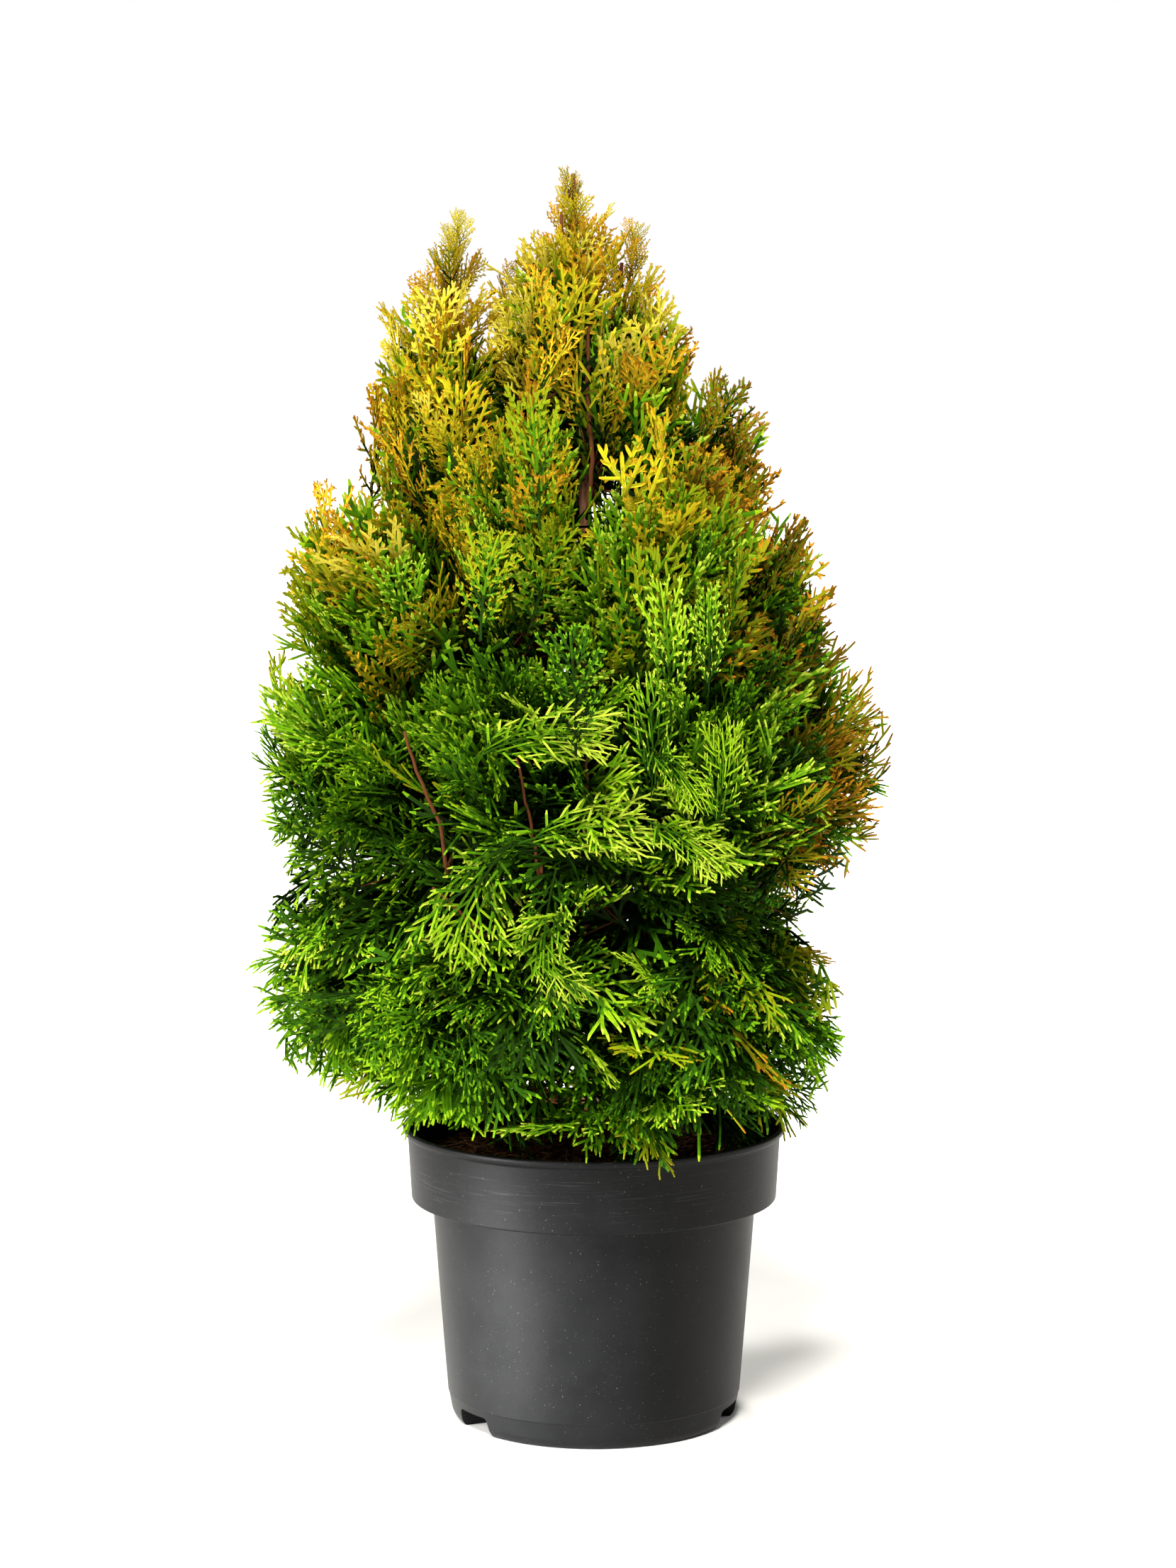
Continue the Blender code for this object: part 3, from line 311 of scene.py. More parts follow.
# The shoots that top the leaders: foot, tip, the lengths of their lowest and highest sprays,
# and how many sprays they have
TopShoot = namedtuple("TopShoot", "foot tip low high count")
TOP_SHOOTS = {
    "leader_left": TopShoot((-0.0080, 0.0, 0.660), (-0.0150, 0.0, 0.7660), 0.064, 0.015, 22),
    "leader_right": TopShoot((0.0100, -0.008, 0.650), (0.0260, -0.010, 0.7360), 0.056, 0.015, 15),
    "leader_back": TopShoot((-0.0440, 0.020, 0.630), (-0.0560, 0.016, 0.7080), 0.050, 0.016, 11),
    "second_leader": TopShoot((-0.0930, -0.006, 0.63), (-0.0835, -0.006, 0.742), 0.062, 0.014, 25),
}
TOP_SHOOT_RADII = (0.0016, 0.0008)
TOP_SHOOT_RISES = (48.0, 70.0)
TOP_SHOOT_SPREAD = 8.0  # degrees
TOP_SHOOT_START = 0.3
TOP_SHOOT_LENGTHS = (0.85, 1.15)
UP = np.array([0.0, 0.0, 1.0])

# ---- helpers


def unit(vector):
    return vector / np.linalg.norm(vector)


def units(vectors):
    return vectors / np.linalg.norm(vectors, axis=1)[:, None]


def outward(azimuth):
    angle = math.radians(azimuth)
    return np.array([math.sin(angle), -math.cos(angle), 0.0])


def side_of(direction):
    side = np.cross((0.0, 0.0, 1.0), direction)
    return unit(side) if np.linalg.norm(side) > 1e-6 else np.array([1.0, 0.0, 0.0])


def risen(turn, rise):
    """The way at a turn about the vertical that rises by an angle, both in radians."""
    level = np.array([math.cos(turn), math.sin(turn), 0.0])
    return level * math.cos(rise) + UP * math.sin(rise)


def rolled_side(way, rng):
    """A side across a way, rolled about it at random."""
    level = side_of(way)
    above = np.cross(way, level)
    roll = rng.gauss(0.0, ROLL_SPREAD)
    return level * math.cos(roll) + above * math.sin(roll)


def bezier(start, middle, end, count):
    t = np.linspace(0.0, 1.0, count)[:, None]
    return (1 - t) ** 2 * start + 2 * t * (1 - t) * middle + t**2 * end

def steps_of(line):
    return np.linalg.norm(np.diff(line, axis=0), axis=1)


def runs_along(line):
    """The way run along a line up to each of its points."""
    return np.concatenate(([0.0], np.cumsum(steps_of(line))))


def nearest(points, place):
    return points[int(np.argmin(np.linalg.norm(points - place, axis=1)))]


def linked(name, data):
    made = bpy.data.objects.new(name, data)
    bpy.context.scene.collection.objects.link(made)
    return made


def mesh_object(name, verts, faces, materials, slots=None, uvs=None, smooth=True):
    """An object from arrays: triangles or quads, a material slot per face, a UV per vertex."""
    verts, faces = np.asarray(verts, np.float32), np.asarray(faces, np.int32)
    sides = faces.shape[1]
    mesh = bpy.data.meshes.new(name)
    mesh.vertices.add(len(verts))
    mesh.vertices.foreach_set("co", verts.ravel())
    mesh.loops.add(faces.size)
    mesh.loops.foreach_set("vertex_index", faces.ravel())
    mesh.polygons.add(len(faces))
    mesh.polygons.foreach_set("loop_start", np.arange(0, faces.size, sides, dtype=np.int32))
    for surface in materials:
        mesh.materials.append(surface)
    if slots is not None:
        mesh.polygons.foreach_set("material_index", np.asarray(slots, np.int32))
    if uvs is not None:
        layer = mesh.uv_layers.new(name="Strand")
        layer.data.foreach_set("uv", np.asarray(uvs, np.float32)[faces.ravel()].ravel())
    mesh.update(calc_edges=True)
    mesh.validate()
    if smooth:
        mesh.shade_smooth()
    return linked(name, mesh)


def dress(made, slot, *nodes):
    """The piece rides on the one body and stands for these nodes. slot is not used."""
    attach(made, "root")
    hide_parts(*nodes)
    return made


# ---- materials


class Nodes:
    """A material's node tree, written one node at a time."""

    def __init__(self, name):
        self.made = bpy.data.materials.new(name)
        self.made.use_nodes = True
        self.tree = self.made.node_tree
        self.shader = self.tree.nodes["Principled BSDF"]

    def set(self, **values):
        for key, value in values.items():
            self.shader.inputs[key.replace("_", " ")].default_value = value

    def add(self, kind, links=None, **settings):
        """A node of a kind. links maps an input's name or number to a socket or a value."""
        node = self.tree.nodes.new(kind)
        for key, value in settings.items():
            setattr(node, key, value)
        for key, value in (links or {}).items():
            if isinstance(value, bpy.types.NodeSocket):
                self.tree.links.new(value, node.inputs[key])
            else:
                node.inputs[key].default_value = value
        return node

    def into(self, socket, name):
        self.tree.links.new(socket, self.shader.inputs[name])

    def noise(self, vector, scale, detail=4.0, roughness=0.6):
        links = {"Vector": vector, "Scale": scale, "Detail": detail, "Roughness": roughness}
        return self.add("ShaderNodeTexNoise", links).outputs["Fac"]

    def ramp(self, factor, stops):
        node = self.add("ShaderNodeValToRGB", {"Fac": factor})
        elements = node.color_ramp.elements
        while len(elements) < len(stops):
            elements.new(0.5)
        for element, (position, colour) in zip(elements, stops):
            element.position = position
            element.color = (*colour, 1.0)
        return node.outputs["Color"]

    def maths(self, operation, first, second=0.0):
        return self.add("ShaderNodeMath", {0: first, 1: second}, operation=operation).outputs[0]

    def mix(self, factor, first, second):
        links = {"Factor": factor, 6: first, 7: second}
        return self.add("ShaderNodeMix", links, data_type="RGBA").outputs[2]

    def bump(self, height, strength, distance):
        links = {"Height": height, "Strength": strength, "Distance": distance}
        self.into(self.add("ShaderNodeBump", links).outputs["Normal"], "Normal")

    def place(self, scale=(1.0, 1.0, 1.0)):
        """The piece's own coordinates, stretched."""
        where = self.add("ShaderNodeTexCoord").outputs["Object"]
        return self.add("ShaderNodeMapping", {"Vector": where, "Scale": scale}).outputs[0]


# Tints of the foliage and its twigs
# shade, the darkest tint, is painted shade where it darkens the inner sprays, the frond cores and
# the right side
TINTS = {
    "shade": (0.005, 0.014, 0.001),
    "deep": (0.012, 0.040, 0.001),
    "green": (0.030, 0.106, 0.002),
    "mid": (0.078, 0.220, 0.003),
    "leaf": (0.168, 0.385, 0.006),
    "lime": (0.325, 0.560, 0.012),
    "bright": (0.560, 0.730, 0.055),
    "sallow": (0.270, 0.370, 0.006),
    "moss": (0.165, 0.175, 0.004),
    "olive": (0.380, 0.360, 0.008),
    "yellow": (0.660, 0.590, 0.014),
    "straw": (0.850, 0.720, 0.070),
    "gold": (0.820, 0.510, 0.018),
    "ochre": (0.620, 0.280, 0.013),
    "bronze": (0.250, 0.125, 0.006),
    "shoot": (0.140, 0.046, 0.018),
}
TINT_NUMBER = {name: number for number, name in enumerate(TINTS)}
LEAF_ROUGHNESS = 0.60
LEAF_SPECULAR = 0.05
SCALE_LENGTH = 0.0021  # of one scale leaf along a branchlet
SCALE_SLANT = 1.4

# Every kind of spray: the tints of its core, its body, its outer branchlets and their tips
# The darker core and lighter tips are partly the plant's own growth, partly painted shade and
# painted light.
PALETTES = {
    "shade": ("shade", "shade", "shade", "deep"),
    "deep": ("shade", "deep", "deep", "green"),
    "green": ("shade", "deep", "green", "leaf"),
    "mid": ("shade", "green", "mid", "lime"),
    "leaf": ("deep", "green", "leaf", "bright"),
    "lime": ("deep", "mid", "lime", "bright"),
    "bright": ("green", "leaf", "bright", "bright"),
    "fringed": ("deep", "mid", "sallow", "olive"),
    "mossy": ("deep", "moss", "olive", "ochre"),
    "olive": ("shade", "moss", "olive", "gold"),
    "yellow": ("deep", "olive", "yellow", "gold"),
    "straw": ("moss", "yellow", "straw", "straw"),
    "golden": ("deep", "olive", "gold", "ochre"),
    "bronze": ("deep", "moss", "bronze", "ochre"),
    # A shaded copy of bronze: painted shade for sprays on the right and behind.
    "dusky": ("shade", "deep", "moss", "bronze"),
}
# The kinds from the foot of the crown to its top, deep green low down and golden at the top: partly
# the plant's own colours, partly painted shade below and painted light above
LADDER = ("deep", "green", "mid", "leaf", "fringed", "olive", "yellow", "straw")
LADDER_HEIGHTS = (0.18, 0.30, 0.40, 0.46, 0.52, 0.58, 0.66, 0.78)
LADDER_STEPS = (1.2, 1.2, 1.6, 2.4, 3.5, 4.8, 6.4, 7.4)


def leaf_material(name, colour):
    """A plain tint with the overlapping scale leaves as relief along each branchlet."""
    nodes = Nodes(f"foliage_{name}")
    nodes.set(Base_Color=(*colour, 1.0), Roughness=LEAF_ROUGHNESS, Specular_IOR_Level=LEAF_SPECULAR)
    uv = nodes.add("ShaderNodeUVMap", uv_map="Strand").outputs["UV"]
    parts = nodes.add("ShaderNodeSeparateXYZ", {0: uv}).outputs
    aside = nodes.maths("ABSOLUTE", nodes.maths("SUBTRACT", parts["Y"], 0.5))
    slant = nodes.maths("MULTIPLY", aside, SCALE_SLANT)
    steps = nodes.maths("ADD", nodes.maths("DIVIDE", parts["X"], SCALE_LENGTH), slant)
    scales = nodes.maths("FRACT", steps)
    nodes.bump(scales, 0.55, 0.0006)
    return nodes.made


def bark_material():
    """Thuja bark: thin red-brown strips, grey where they weather."""
    nodes = Nodes("bark")
    nodes.set(Roughness=0.82, Specular_IOR_Level=0.2)
    along = nodes.place((420.0, 420.0, 46.0))
    strips = nodes.noise(along, 1.0, 5.0, 0.7)
    patches = nodes.noise(nodes.place((60.0, 60.0, 26.0)), 1.0, 3.0)
    red = nodes.ramp(strips, [(0.28, (0.045, 0.018, 0.009)), (0.52, (0.190, 0.066, 0.030)),
                              (0.74, (0.330, 0.150, 0.080))])
    grey = nodes.ramp(strips, [(0.3, (0.060, 0.040, 0.028)), (0.75, (0.300, 0.210, 0.150))])
    share = nodes.ramp(patches, [(0.45, (0.0, 0.0, 0.0)), (0.68, (0.7, 0.7, 0.7))])
    nodes.into(nodes.mix(share, red, grey), "Base Color")
    nodes.bump(strips, 0.8, 0.0012)
    return nodes.made


def compost_material():
    nodes = Nodes("compost")
    nodes.set(Roughness=0.95, Specular_IOR_Level=0.15)
    where = nodes.place()
    crumbs = nodes.noise(where, 420.0, 8.0, 0.75)
    clods = nodes.noise(where, 90.0, 4.0)
    dark = nodes.ramp(crumbs, [(0.3, (0.008, 0.005, 0.003)), (0.6, (0.050, 0.026, 0.014)),
                               (0.8, (0.120, 0.060, 0.032))])
    light = nodes.ramp(crumbs, [(0.3, (0.020, 0.011, 0.006)), (0.75, (0.160, 0.085, 0.046))])
    nodes.into(nodes.mix(clods, dark, light), "Base Color")
    nodes.bump(crumbs, 1.0, 0.004)
    return nodes.made

def plastic_material():
    """Moulded black polypropylene: fine grain, level scuffs on the collar, specks of dust."""
    nodes = Nodes("pot_plastic")
    nodes.set(Specular_IOR_Level=0.10)
    where = nodes.place()
    own = nodes.add("ShaderNodeTexCoord").outputs["Object"]
    height = nodes.add("ShaderNodeSeparateXYZ", {0: own}).outputs["Z"]
    grain = nodes.noise(where, 2600.0, 2.0)
    clouds = nodes.noise(where, 34.0, 5.0)
    level = nodes.noise(nodes.place((26.0, 26.0, 1500.0)), 1.0, 3.0, 0.7)
    black, white = (0.0, 0.0, 0.0), (1.0, 1.0, 1.0)
    scuffed = nodes.ramp(level, [(0.58, black), (0.76, white)])
    collar = [(0.145, black), (0.153, white), (0.172, white), (0.179, (0.15, 0.15, 0.15))]
    on_collar = nodes.ramp(height, collar)
    scuffs = nodes.maths("MULTIPLY", nodes.maths("MULTIPLY", scuffed, on_collar), 0.3)
    specks = nodes.ramp(nodes.noise(where, 900.0, 1.0), [(0.735, black), (0.77, white)])
    plain = nodes.ramp(clouds, [(0.3, (0.0031, 0.0033, 0.0036)), (0.7, (0.0052, 0.0054, 0.0058))])
    dusty = nodes.mix(nodes.maths("MULTIPLY", specks, 0.20), plain, (0.26, 0.25, 0.24, 1.0))
    worn = nodes.mix(scuffs, dusty, (0.090, 0.091, 0.094, 1.0))
    nodes.into(worn, "Base Color")
    rough = nodes.maths("ADD", nodes.maths("MULTIPLY", clouds, 0.10), 0.38)
    nodes.into(nodes.maths("ADD", rough, nodes.maths("MULTIPLY", scuffs, 0.25)), "Roughness")
    relief = nodes.maths("ADD", grain, nodes.maths("MULTIPLY", clouds, 0.8))
    nodes.bump(relief, 0.16, 0.0005)
    return nodes.made


def litter_material():
    nodes = Nodes("litter")
    nodes.set(Roughness=0.9, Specular_IOR_Level=0.2)
    shade = nodes.noise(nodes.place(), 160.0, 3.0)
    colour = nodes.ramp(shade, [(0.30, (0.060, 0.022, 0.010)), (0.52, (0.190, 0.070, 0.032)),
                                (0.72, (0.360, 0.200, 0.090))])
    nodes.into(colour, "Base Color")
    return nodes.made


# ---- limbs, by the source's rule


def trunk_ring(share):
    z = TRUNK_FOOT_Z + share * (TRUNK_TIP_Z - TRUNK_FOOT_Z)
    x = TRUNK_LEAN * share**3 + TRUNK_BEND * math.sin(2 * math.pi * share) * (1 - share)
    y = TRUNK_BEND * math.sin(math.pi * share) * math.cos(2 * math.pi * share)
    flare = FLARE_RADIUS * math.exp((TRUNK_FOOT_Z - z) / FLARE_HEIGHT)
    radius = TRUNK_FOOT_RADIUS + (TRUNK_TIP_RADIUS - TRUNK_FOOT_RADIUS) * share + flare
    return (x, y, z, radius)


TRUNK = np.array([trunk_ring((i / (TRUNK_RINGS - 1)) ** 1.5) for i in range(TRUNK_RINGS)])


def trunk_point(z):
    return np.array([np.interp(z, TRUNK[:, 2], TRUNK[:, k]) for k in range(3)])


def trunk_radius(z):
    return float(np.interp(z, TRUNK[:, 2], TRUNK[:, 3]))


def centre_of(mass):
    return np.array([mass.x, mass.y, mass.z])


def reach_of(mass):
    return np.array([mass.reach_x, mass.reach_y, mass.reach_z])


def leaving_trunk(z, way, radius):
    away = unit(np.array([way[0], way[1], 0.0]))
    half = math.pi / TRUNK_SIDES
    off_facet = math.atan2(away[1], away[0]) % (2 * half) - half
    facet = trunk_radius(z - radius) * math.cos(half) / math.cos(off_facet)
    return trunk_point(z) + away * (facet + FACET_CLEARANCE), away


def rounded(shares, power):
    """How far offsets, as shares of a mass's reach, lie on the way to its rounded side. Above
    its centre a power less than 2 draws the space in to a point."""
    power = np.where(shares[..., 2] > 0, power, ROUND_POWER)
    level = np.linalg.norm(shares[..., :2], axis=-1)
    return (level**power + np.abs(shares[..., 2]) ** power) ** (1 / power)


class Cell:
    """The rounded space of a mass, cut back by a flat side towards each neighbour."""

    def __init__(self, name):
        self.name = name
        self.mass = MASSES[name]
        self.centre = centre_of(self.mass)
        self.reach = reach_of(self.mass)
        self.narrow = self.reach[0] < NARROW_REACH
        steep = STEEP_POWER if self.mass.rise >= STEEP_RISE else ROUND_POWER
        self.power = NARROW_POWER if self.narrow else steep
        sides = [self.side_to(other) for key, other in MASSES.items() if key != name]
        self.normals = np.array([normal for normal, _ in sides])
        self.offsets = np.array([offset for _, offset in sides])

    def side_to(self, other):
        way = centre_of(other) - self.centre
        distance = np.linalg.norm(way)
        normal = way / distance
        own = 1.0 / np.linalg.norm(normal / self.reach)
        theirs = 1.0 / np.linalg.norm(normal / reach_of(other))
        return normal, normal @ self.centre + distance * own / (own + theirs) - CELL_GAP / 2

    def edges_along(self, ways):
        """The way from the centre to the flat sides and to the rounded side, along unit vectors."""
        towards = np.maximum(ways @ self.normals.T, 1e-6)
        flat = ((self.offsets - self.normals @ self.centre) / towards).min(axis=1)
        return flat, 1.0 / rounded(ways / self.reach, self.power)

    def way_out_of_crown(self):
        away = self.centre - trunk_point(self.centre[2])
        away[2] = 0.0
        return unit(away)


def bough_path(cell):
    mass = cell.mass
    radius = max(BOUGH_SHARE * trunk_radius(mass.leaves_z), BOUGH_LEAST_RADIUS)
    start, away = leaving_trunk(mass.leaves_z, cell.centre - trunk_point(mass.leaves_z), radius)
    inwards = start - cell.centre
    inwards[2] = -BOUGH_ENTRY_DROP * np.linalg.norm(inwards[:2])
    inwards = unit(inwards)
    end = cell.centre + inwards * BOUGH_END * min(*cell.edges_along(inwards[None]))[0]
    run = end - start
    lift = np.array([0.0, 0.0, run[2] * BOUGH_RISE_SHARE])
    middle = start + away * np.linalg.norm(run[:2]) * BOUGH_SPREAD + lift
    middle = middle + np.array(BOUGH_BOWS.get(cell.name, (0.0, 0.0, 0.0)))
    radii = np.array([radius, radius * BOUGH_TAPER])
    return np.array([start, middle, end]), radii


def stem_path(cell, bough):
    """The three points and two radii of a mass's stem, on from its bough's tip or the trunk."""
    mass = cell.mass
    if bough is None:
        radius = TWIG_RADIUS
        start, way = leaving_trunk(mass.leaves_z, cell.centre - trunk_point(mass.leaves_z), radius)
        middle = start + way * STEM_RUN * STEM_LEAD + np.array([0.0, 0.0, STEM_RUN])
    else:
        (_, bend, start), radii = bough
        radius = radii[-1]
        middle = start + unit(start - bend) * STEM_RUN
    rise = NARROW_STEM_TOP if cell.narrow else STEM_TOP
    end = cell.centre + np.array([0.0, 0.0, rise * mass.reach_z])
    return np.array([start, middle, end]), np.array([radius, TWIG_RADIUS * TWIG_THINNING])


# ---- bark


def tube(rings, sides):
    """Triangles round rings of vertices, and at each end a fan to a hub. The two hubs come
    after the rings."""
    ring, side = np.meshgrid(np.arange(rings - 1), np.arange(sides), indexing="ij")
    low, after = ring * sides, (side + 1) % sides
    quads = np.stack((low + side, low + after, low + sides + after, low + sides + side), -1)
    quads = quads.reshape(-1, 4)
    rim = np.arange(sides)
    fans = []
    for start, hub in ((0, rings * sides), ((rings - 1) * sides, rings * sides + 1)):
        fans.append(np.stack((start + rim, start + np.roll(rim, -1), np.full(sides, hub)), -1))
    return np.vstack((quads[:, [0, 1, 2]], quads[:, [0, 2, 3]], fans[0][:, [1, 0, 2]], fans[1]))


def limb_mesh(path, radii, sides, rng, ridge=RIDGE_DEPTH):
    """Vertices and triangles of a limb with ridges that wind along it, closed at both ends."""
    rings = len(path)
    turn = np.arange(sides) * 2 * math.pi / sides
    along = units(np.gradient(path, axis=0))
    across = np.empty_like(path)
    across[0] = side_of(along[0])
    for i in range(1, rings):
        across[i] = unit(across[i - 1] - (across[i - 1] @ along[i]) * along[i])
    above = np.cross(along, across)
    run = runs_along(path)
    relief = np.zeros((rings, sides))
    for waves, share in RIDGE_WAVES:
        phase, twist = rng.uniform(0, 2 * math.pi), rng.uniform(-RIDGE_TWIST, RIDGE_TWIST)
        drift = RIDGE_DRIFT * np.sin(run * rng.uniform(*DRIFT_PITCHES) + phase)
        relief += share * np.sin(waves * turn[None] + (twist * run + drift + phase)[:, None])
    size = radii[:, None] * (1.0 + ridge * relief)
    spokes = np.cos(turn)[:, None] * across[:, None] + np.sin(turn)[:, None] * above[:, None]
    verts = (path[:, None] + size[:, :, None] * spokes).reshape(-1, 3)
    return np.vstack((verts, path[0], path[-1])), tube(rings, sides)


def along_curve(points, radii, step):
    """A bezier's points at a step, with radii that taper along it."""
    count = max(4, round(steps_of(points).sum() / step))
    return bezier(*points, count), np.linspace(*radii, count)


def build_limbs(bark, cells):
    """Makes the trunk and every bough. Returns every mass's stem as points and radii."""
    rng = random.Random(SEED)
    heights = np.arange(TRUNK_FOOT_Z - TRUNK_SUNK, TRUNK_TIP_Z, TRUNK_RING_STEP)
    path = np.array([trunk_point(z) for z in heights])
    path[:, 2] = heights
    radii = np.array([trunk_radius(z) for z in heights])
    trunk = mesh_object("trunk_bark", *limb_mesh(path, radii, TRUNK_BARK_SIDES, rng), [bark])
    dress(trunk, "bark", "trunk")
    stems = {}
    for name, cell in cells.items():
        bough = None
        if name not in ON_TRUNK:
            bough = bough_path(cell)
            points, sizes = along_curve(*bough, LIMB_RING_STEP)
            points[0] -= unit(points[1] - points[0]) * BARK_ENTRY
            limb = limb_mesh(points, sizes, BOUGH_BARK_SIDES, rng)
            dress(mesh_object(f"bough_{name}_bark", *limb, [bark]), "bark", f"bough_{name}")
        stems[name] = stem_path(cell, bough)
    return stems


# ---- fronds


class Strands:
    """Collects the tapering strands of a frond: its midrib, shoots, branchlets and forks."""

    def __init__(self):
        self.verts, self.faces, self.tones, self.uvs = [], [], [], []
        self.face_strand, self.tips, self.parents = [], [], []

    def add(self, line, half_width, tones, parent, ridge):
        """A blunt strand along a line of (x, y, z), ridged if ridge isn't 0. tones is the tone
        of each run."""
        number, first, rings = len(self.tips), len(self.verts), len(line)
        run = 0.0
        for i in range(rings):
            ahead = line[min(i + 1, rings - 1)] - line[max(i - 1, 0)]
            reach = max(math.hypot(ahead[0], ahead[1]), LEAST_REACH)
            across = np.array([-ahead[1], ahead[0], 0.0]) / reach
            across *= half_width * (BLUNT_SHARE if i == rings - 1 else 1.0)
            run += float(np.linalg.norm(line[i] - line[i - 1])) if i else 0.0
            row = [(line[i] - across, (run, 0.0)), (line[i] + across, (run, 1.0))]
            if ridge:
                row.insert(1, (line[i] + UP * ridge, (run, 0.5)))
            for vert, uv in row:
                self.verts.append(vert)
                self.uvs.append(uv)
        wide = 3 if ridge else 2
        for i in range(rings - 1):
            for low in range(first + wide * i, first + wide * (i + 1) - 1):
                new = [(low, low + 1, low + wide + 1), (low, low + wide + 1, low + wide)]
                self.faces += new if ridge < 0 else [face[::-1] for face in new]
                self.tones += [tones[i]] * 2
                self.face_strand += [number] * 2
        self.tips.append(len(self.verts) - 2)
        self.parents.append(parent)
        return number

    def finished(self):
        kept = ("verts", "faces", "tones", "uvs", "face_strand", "tips", "parents")
        return {key: np.array(getattr(self, key)) for key in kept}


def curved_line(start, heading, bend, length, lift, stops):
    """A line in the frond's plane that turns by bend and leaves it by lift. stops are the
    shares of its length where it has points."""
    points, place, before = [np.array(start, float)], np.array(start, float), 0.0
    for stop in stops:
        angle = heading + bend * (before + stop) / 2
        ahead = np.array([math.cos(angle), math.sin(angle), lift])
        place = place + ahead * length * (stop - before)
        points.append(place)
        before = stop
    return np.array(points)


def along_line(line, share):
    """The place and heading at a share of a line's length."""
    run = runs_along(line)
    exact = share * run[-1]
    k = min(int(np.searchsorted(run, exact, side="right")) - 1, len(line) - 2)
    ahead = line[k + 1] - line[k]
    return line[k] + ahead * (exact - run[k]) / steps_of(line)[k], math.atan2(ahead[1], ahead[0])


def grow_frond(style, rng):
    """One frond along +X in its own plane, at its drawn length: a midrib, side shoots that
    alternate along it and branchlets that alternate along each shoot."""
    strands = Strands()
    wide = style.half * SHOOT_WIDENING
    wave = rng.uniform(*MIDRIB_WAVES)
    stops = (*MIDRIB_STOPS, 1 - style.tip / FROND_LENGTH, 1)
    midrib = curved_line((0, 0, 0), -wave / 2, wave, FROND_LENGTH, 0.0, stops)
    root = strands.add(midrib, wide, [0, 0, 1, 1, 2, 2, 3], -1, style.ridge)
    out = rng.choice((-1, 1))
    for i in range(style.shoots):
        share = FIRST_SHOOT + SHOOT_SPAN * (i + rng.uniform(*SHOOT_JITTER)) / style.shoots
        share = max(LEAST_SHARE, share)
        at, heading = along_line(midrib, share)
        out = -out
        opening = style.angle * (SHOOT_OPENING - SHOOT_CLOSING * share)
        heading += out * math.radians(opening * rng.uniform(*ANGLE_JITTER))
        swell = math.sin(math.pi * min(1.0, (share + SWELL_SHIFT) * SWELL_PACE)) ** SWELL_POWER
        length = FROND_LENGTH * style.width * SHOOT_REACH * swell
        length /= math.sin(math.radians(style.angle))
        length = min(length, FROND_LENGTH * (SHOOT_LIMIT - share)) * rng.uniform(*SHOOT_LENGTHS)
        lift = rng.uniform(*SHOOT_LIFTS)
        bend = -out * rng.uniform(*SHOOT_BENDS)
        tip_from = max(SHOOT_LEAST_BODY, 1 - style.tip / length)
        line = curved_line(at, heading, bend, length, lift, (tip_from / 2, tip_from, 1.0))
        tones = [0, 1, 3] if share < CORE_SHARE else [1, 2, 3]
        shoot = strands.add(line, wide, tones, root, style.ridge * rng.choice((-1, 1)))
        grow_branchlets(strands, style, line, shoot, share, rng)
    return strands.finished()


def grow_branchlets(strands, style, line, shoot, share, rng):
    """The branchlets that alternate along one shoot of a frond, some of them forked."""
    length = steps_of(line).sum()
    lift = (line[-1][2] - line[0][2]) / length
    spacing = FROND_LENGTH * style.every
    offset = spacing * rng.uniform(*BRANCHLET_STARTS)
    out = rng.choice((-1, 1))
    while offset < length * BRANCHLET_END:
        start, heading = along_line(line, offset / length)
        left = (length - offset) / length
        long = FROND_LENGTH * style.branchlet * (BRANCHLET_LEAST + BRANCHLET_GAIN * left)
        long *= rng.uniform(*BRANCHLET_LENGTHS)
        turn = math.radians(rng.uniform(*style.turn)) * out
        rise = lift * BRANCHLET_LIFT + rng.uniform(*BRANCHLET_LIFTS)
        tip_from = max(BRANCHLET_LEAST_BODY, 1 - style.tip / long)
        bend = -turn * rng.uniform(*BRANCHLET_BENDS)
        twiglet = curved_line(start, heading + turn, bend, long, rise, (tip_from, 1.0))
        body = 1 if share < CORE_SHARE and left > 0.5 else 2
        ridge = style.ridge * rng.choice((-1, 1))
        branchlet = strands.add(twiglet, style.half, [body, 3], shoot, ridge)
        if rng.random() < style.forks:
            fork_from, ahead = along_line(twiglet, rng.uniform(*FORK_PLACES))
            ahead += rng.choice((-1, 1)) * rng.uniform(*FORK_TURNS)
            fork = curved_line(fork_from, ahead, 0.0, rng.uniform(*FORK_LENGTHS), rise, (1.0,))
            strands.add(fork, style.half * FORK_WIDTH, [3], branchlet, style.ridge)
        offset += spacing * rng.uniform(*BRANCHLET_GAPS)
        out = -out


def bent(points, curls, length):
    """Points of a frond after its length bends towards its side and towards its normal."""
    points = points.copy()
    for axis, curl in enumerate(curls, 1):
        if abs(curl) < STRAIGHT:
            continue
        angle, off = curl * points[:, 0] / length, points[:, axis].copy()
        points[:, 0] = np.sin(angle) * length / curl - np.sin(angle) * off
        points[:, axis] = (1 - np.cos(angle)) * length / curl + np.cos(angle) * off
    return points


def gap_holds(gap, points):
    """Which points lie in a gap: near its line, seen from the front, and before its back."""
    foot, tip = np.array(gap.foot), np.array(gap.tip)
    run = tip - foot
    level = points[:, [0, 2]] - foot
    share = np.clip(level @ run / (run @ run), 0.0, 1.0)
    off = np.linalg.norm(level - share[:, None] * run, axis=1)
    return (off < gap.radius) & (points[:, 1] < gap.back)


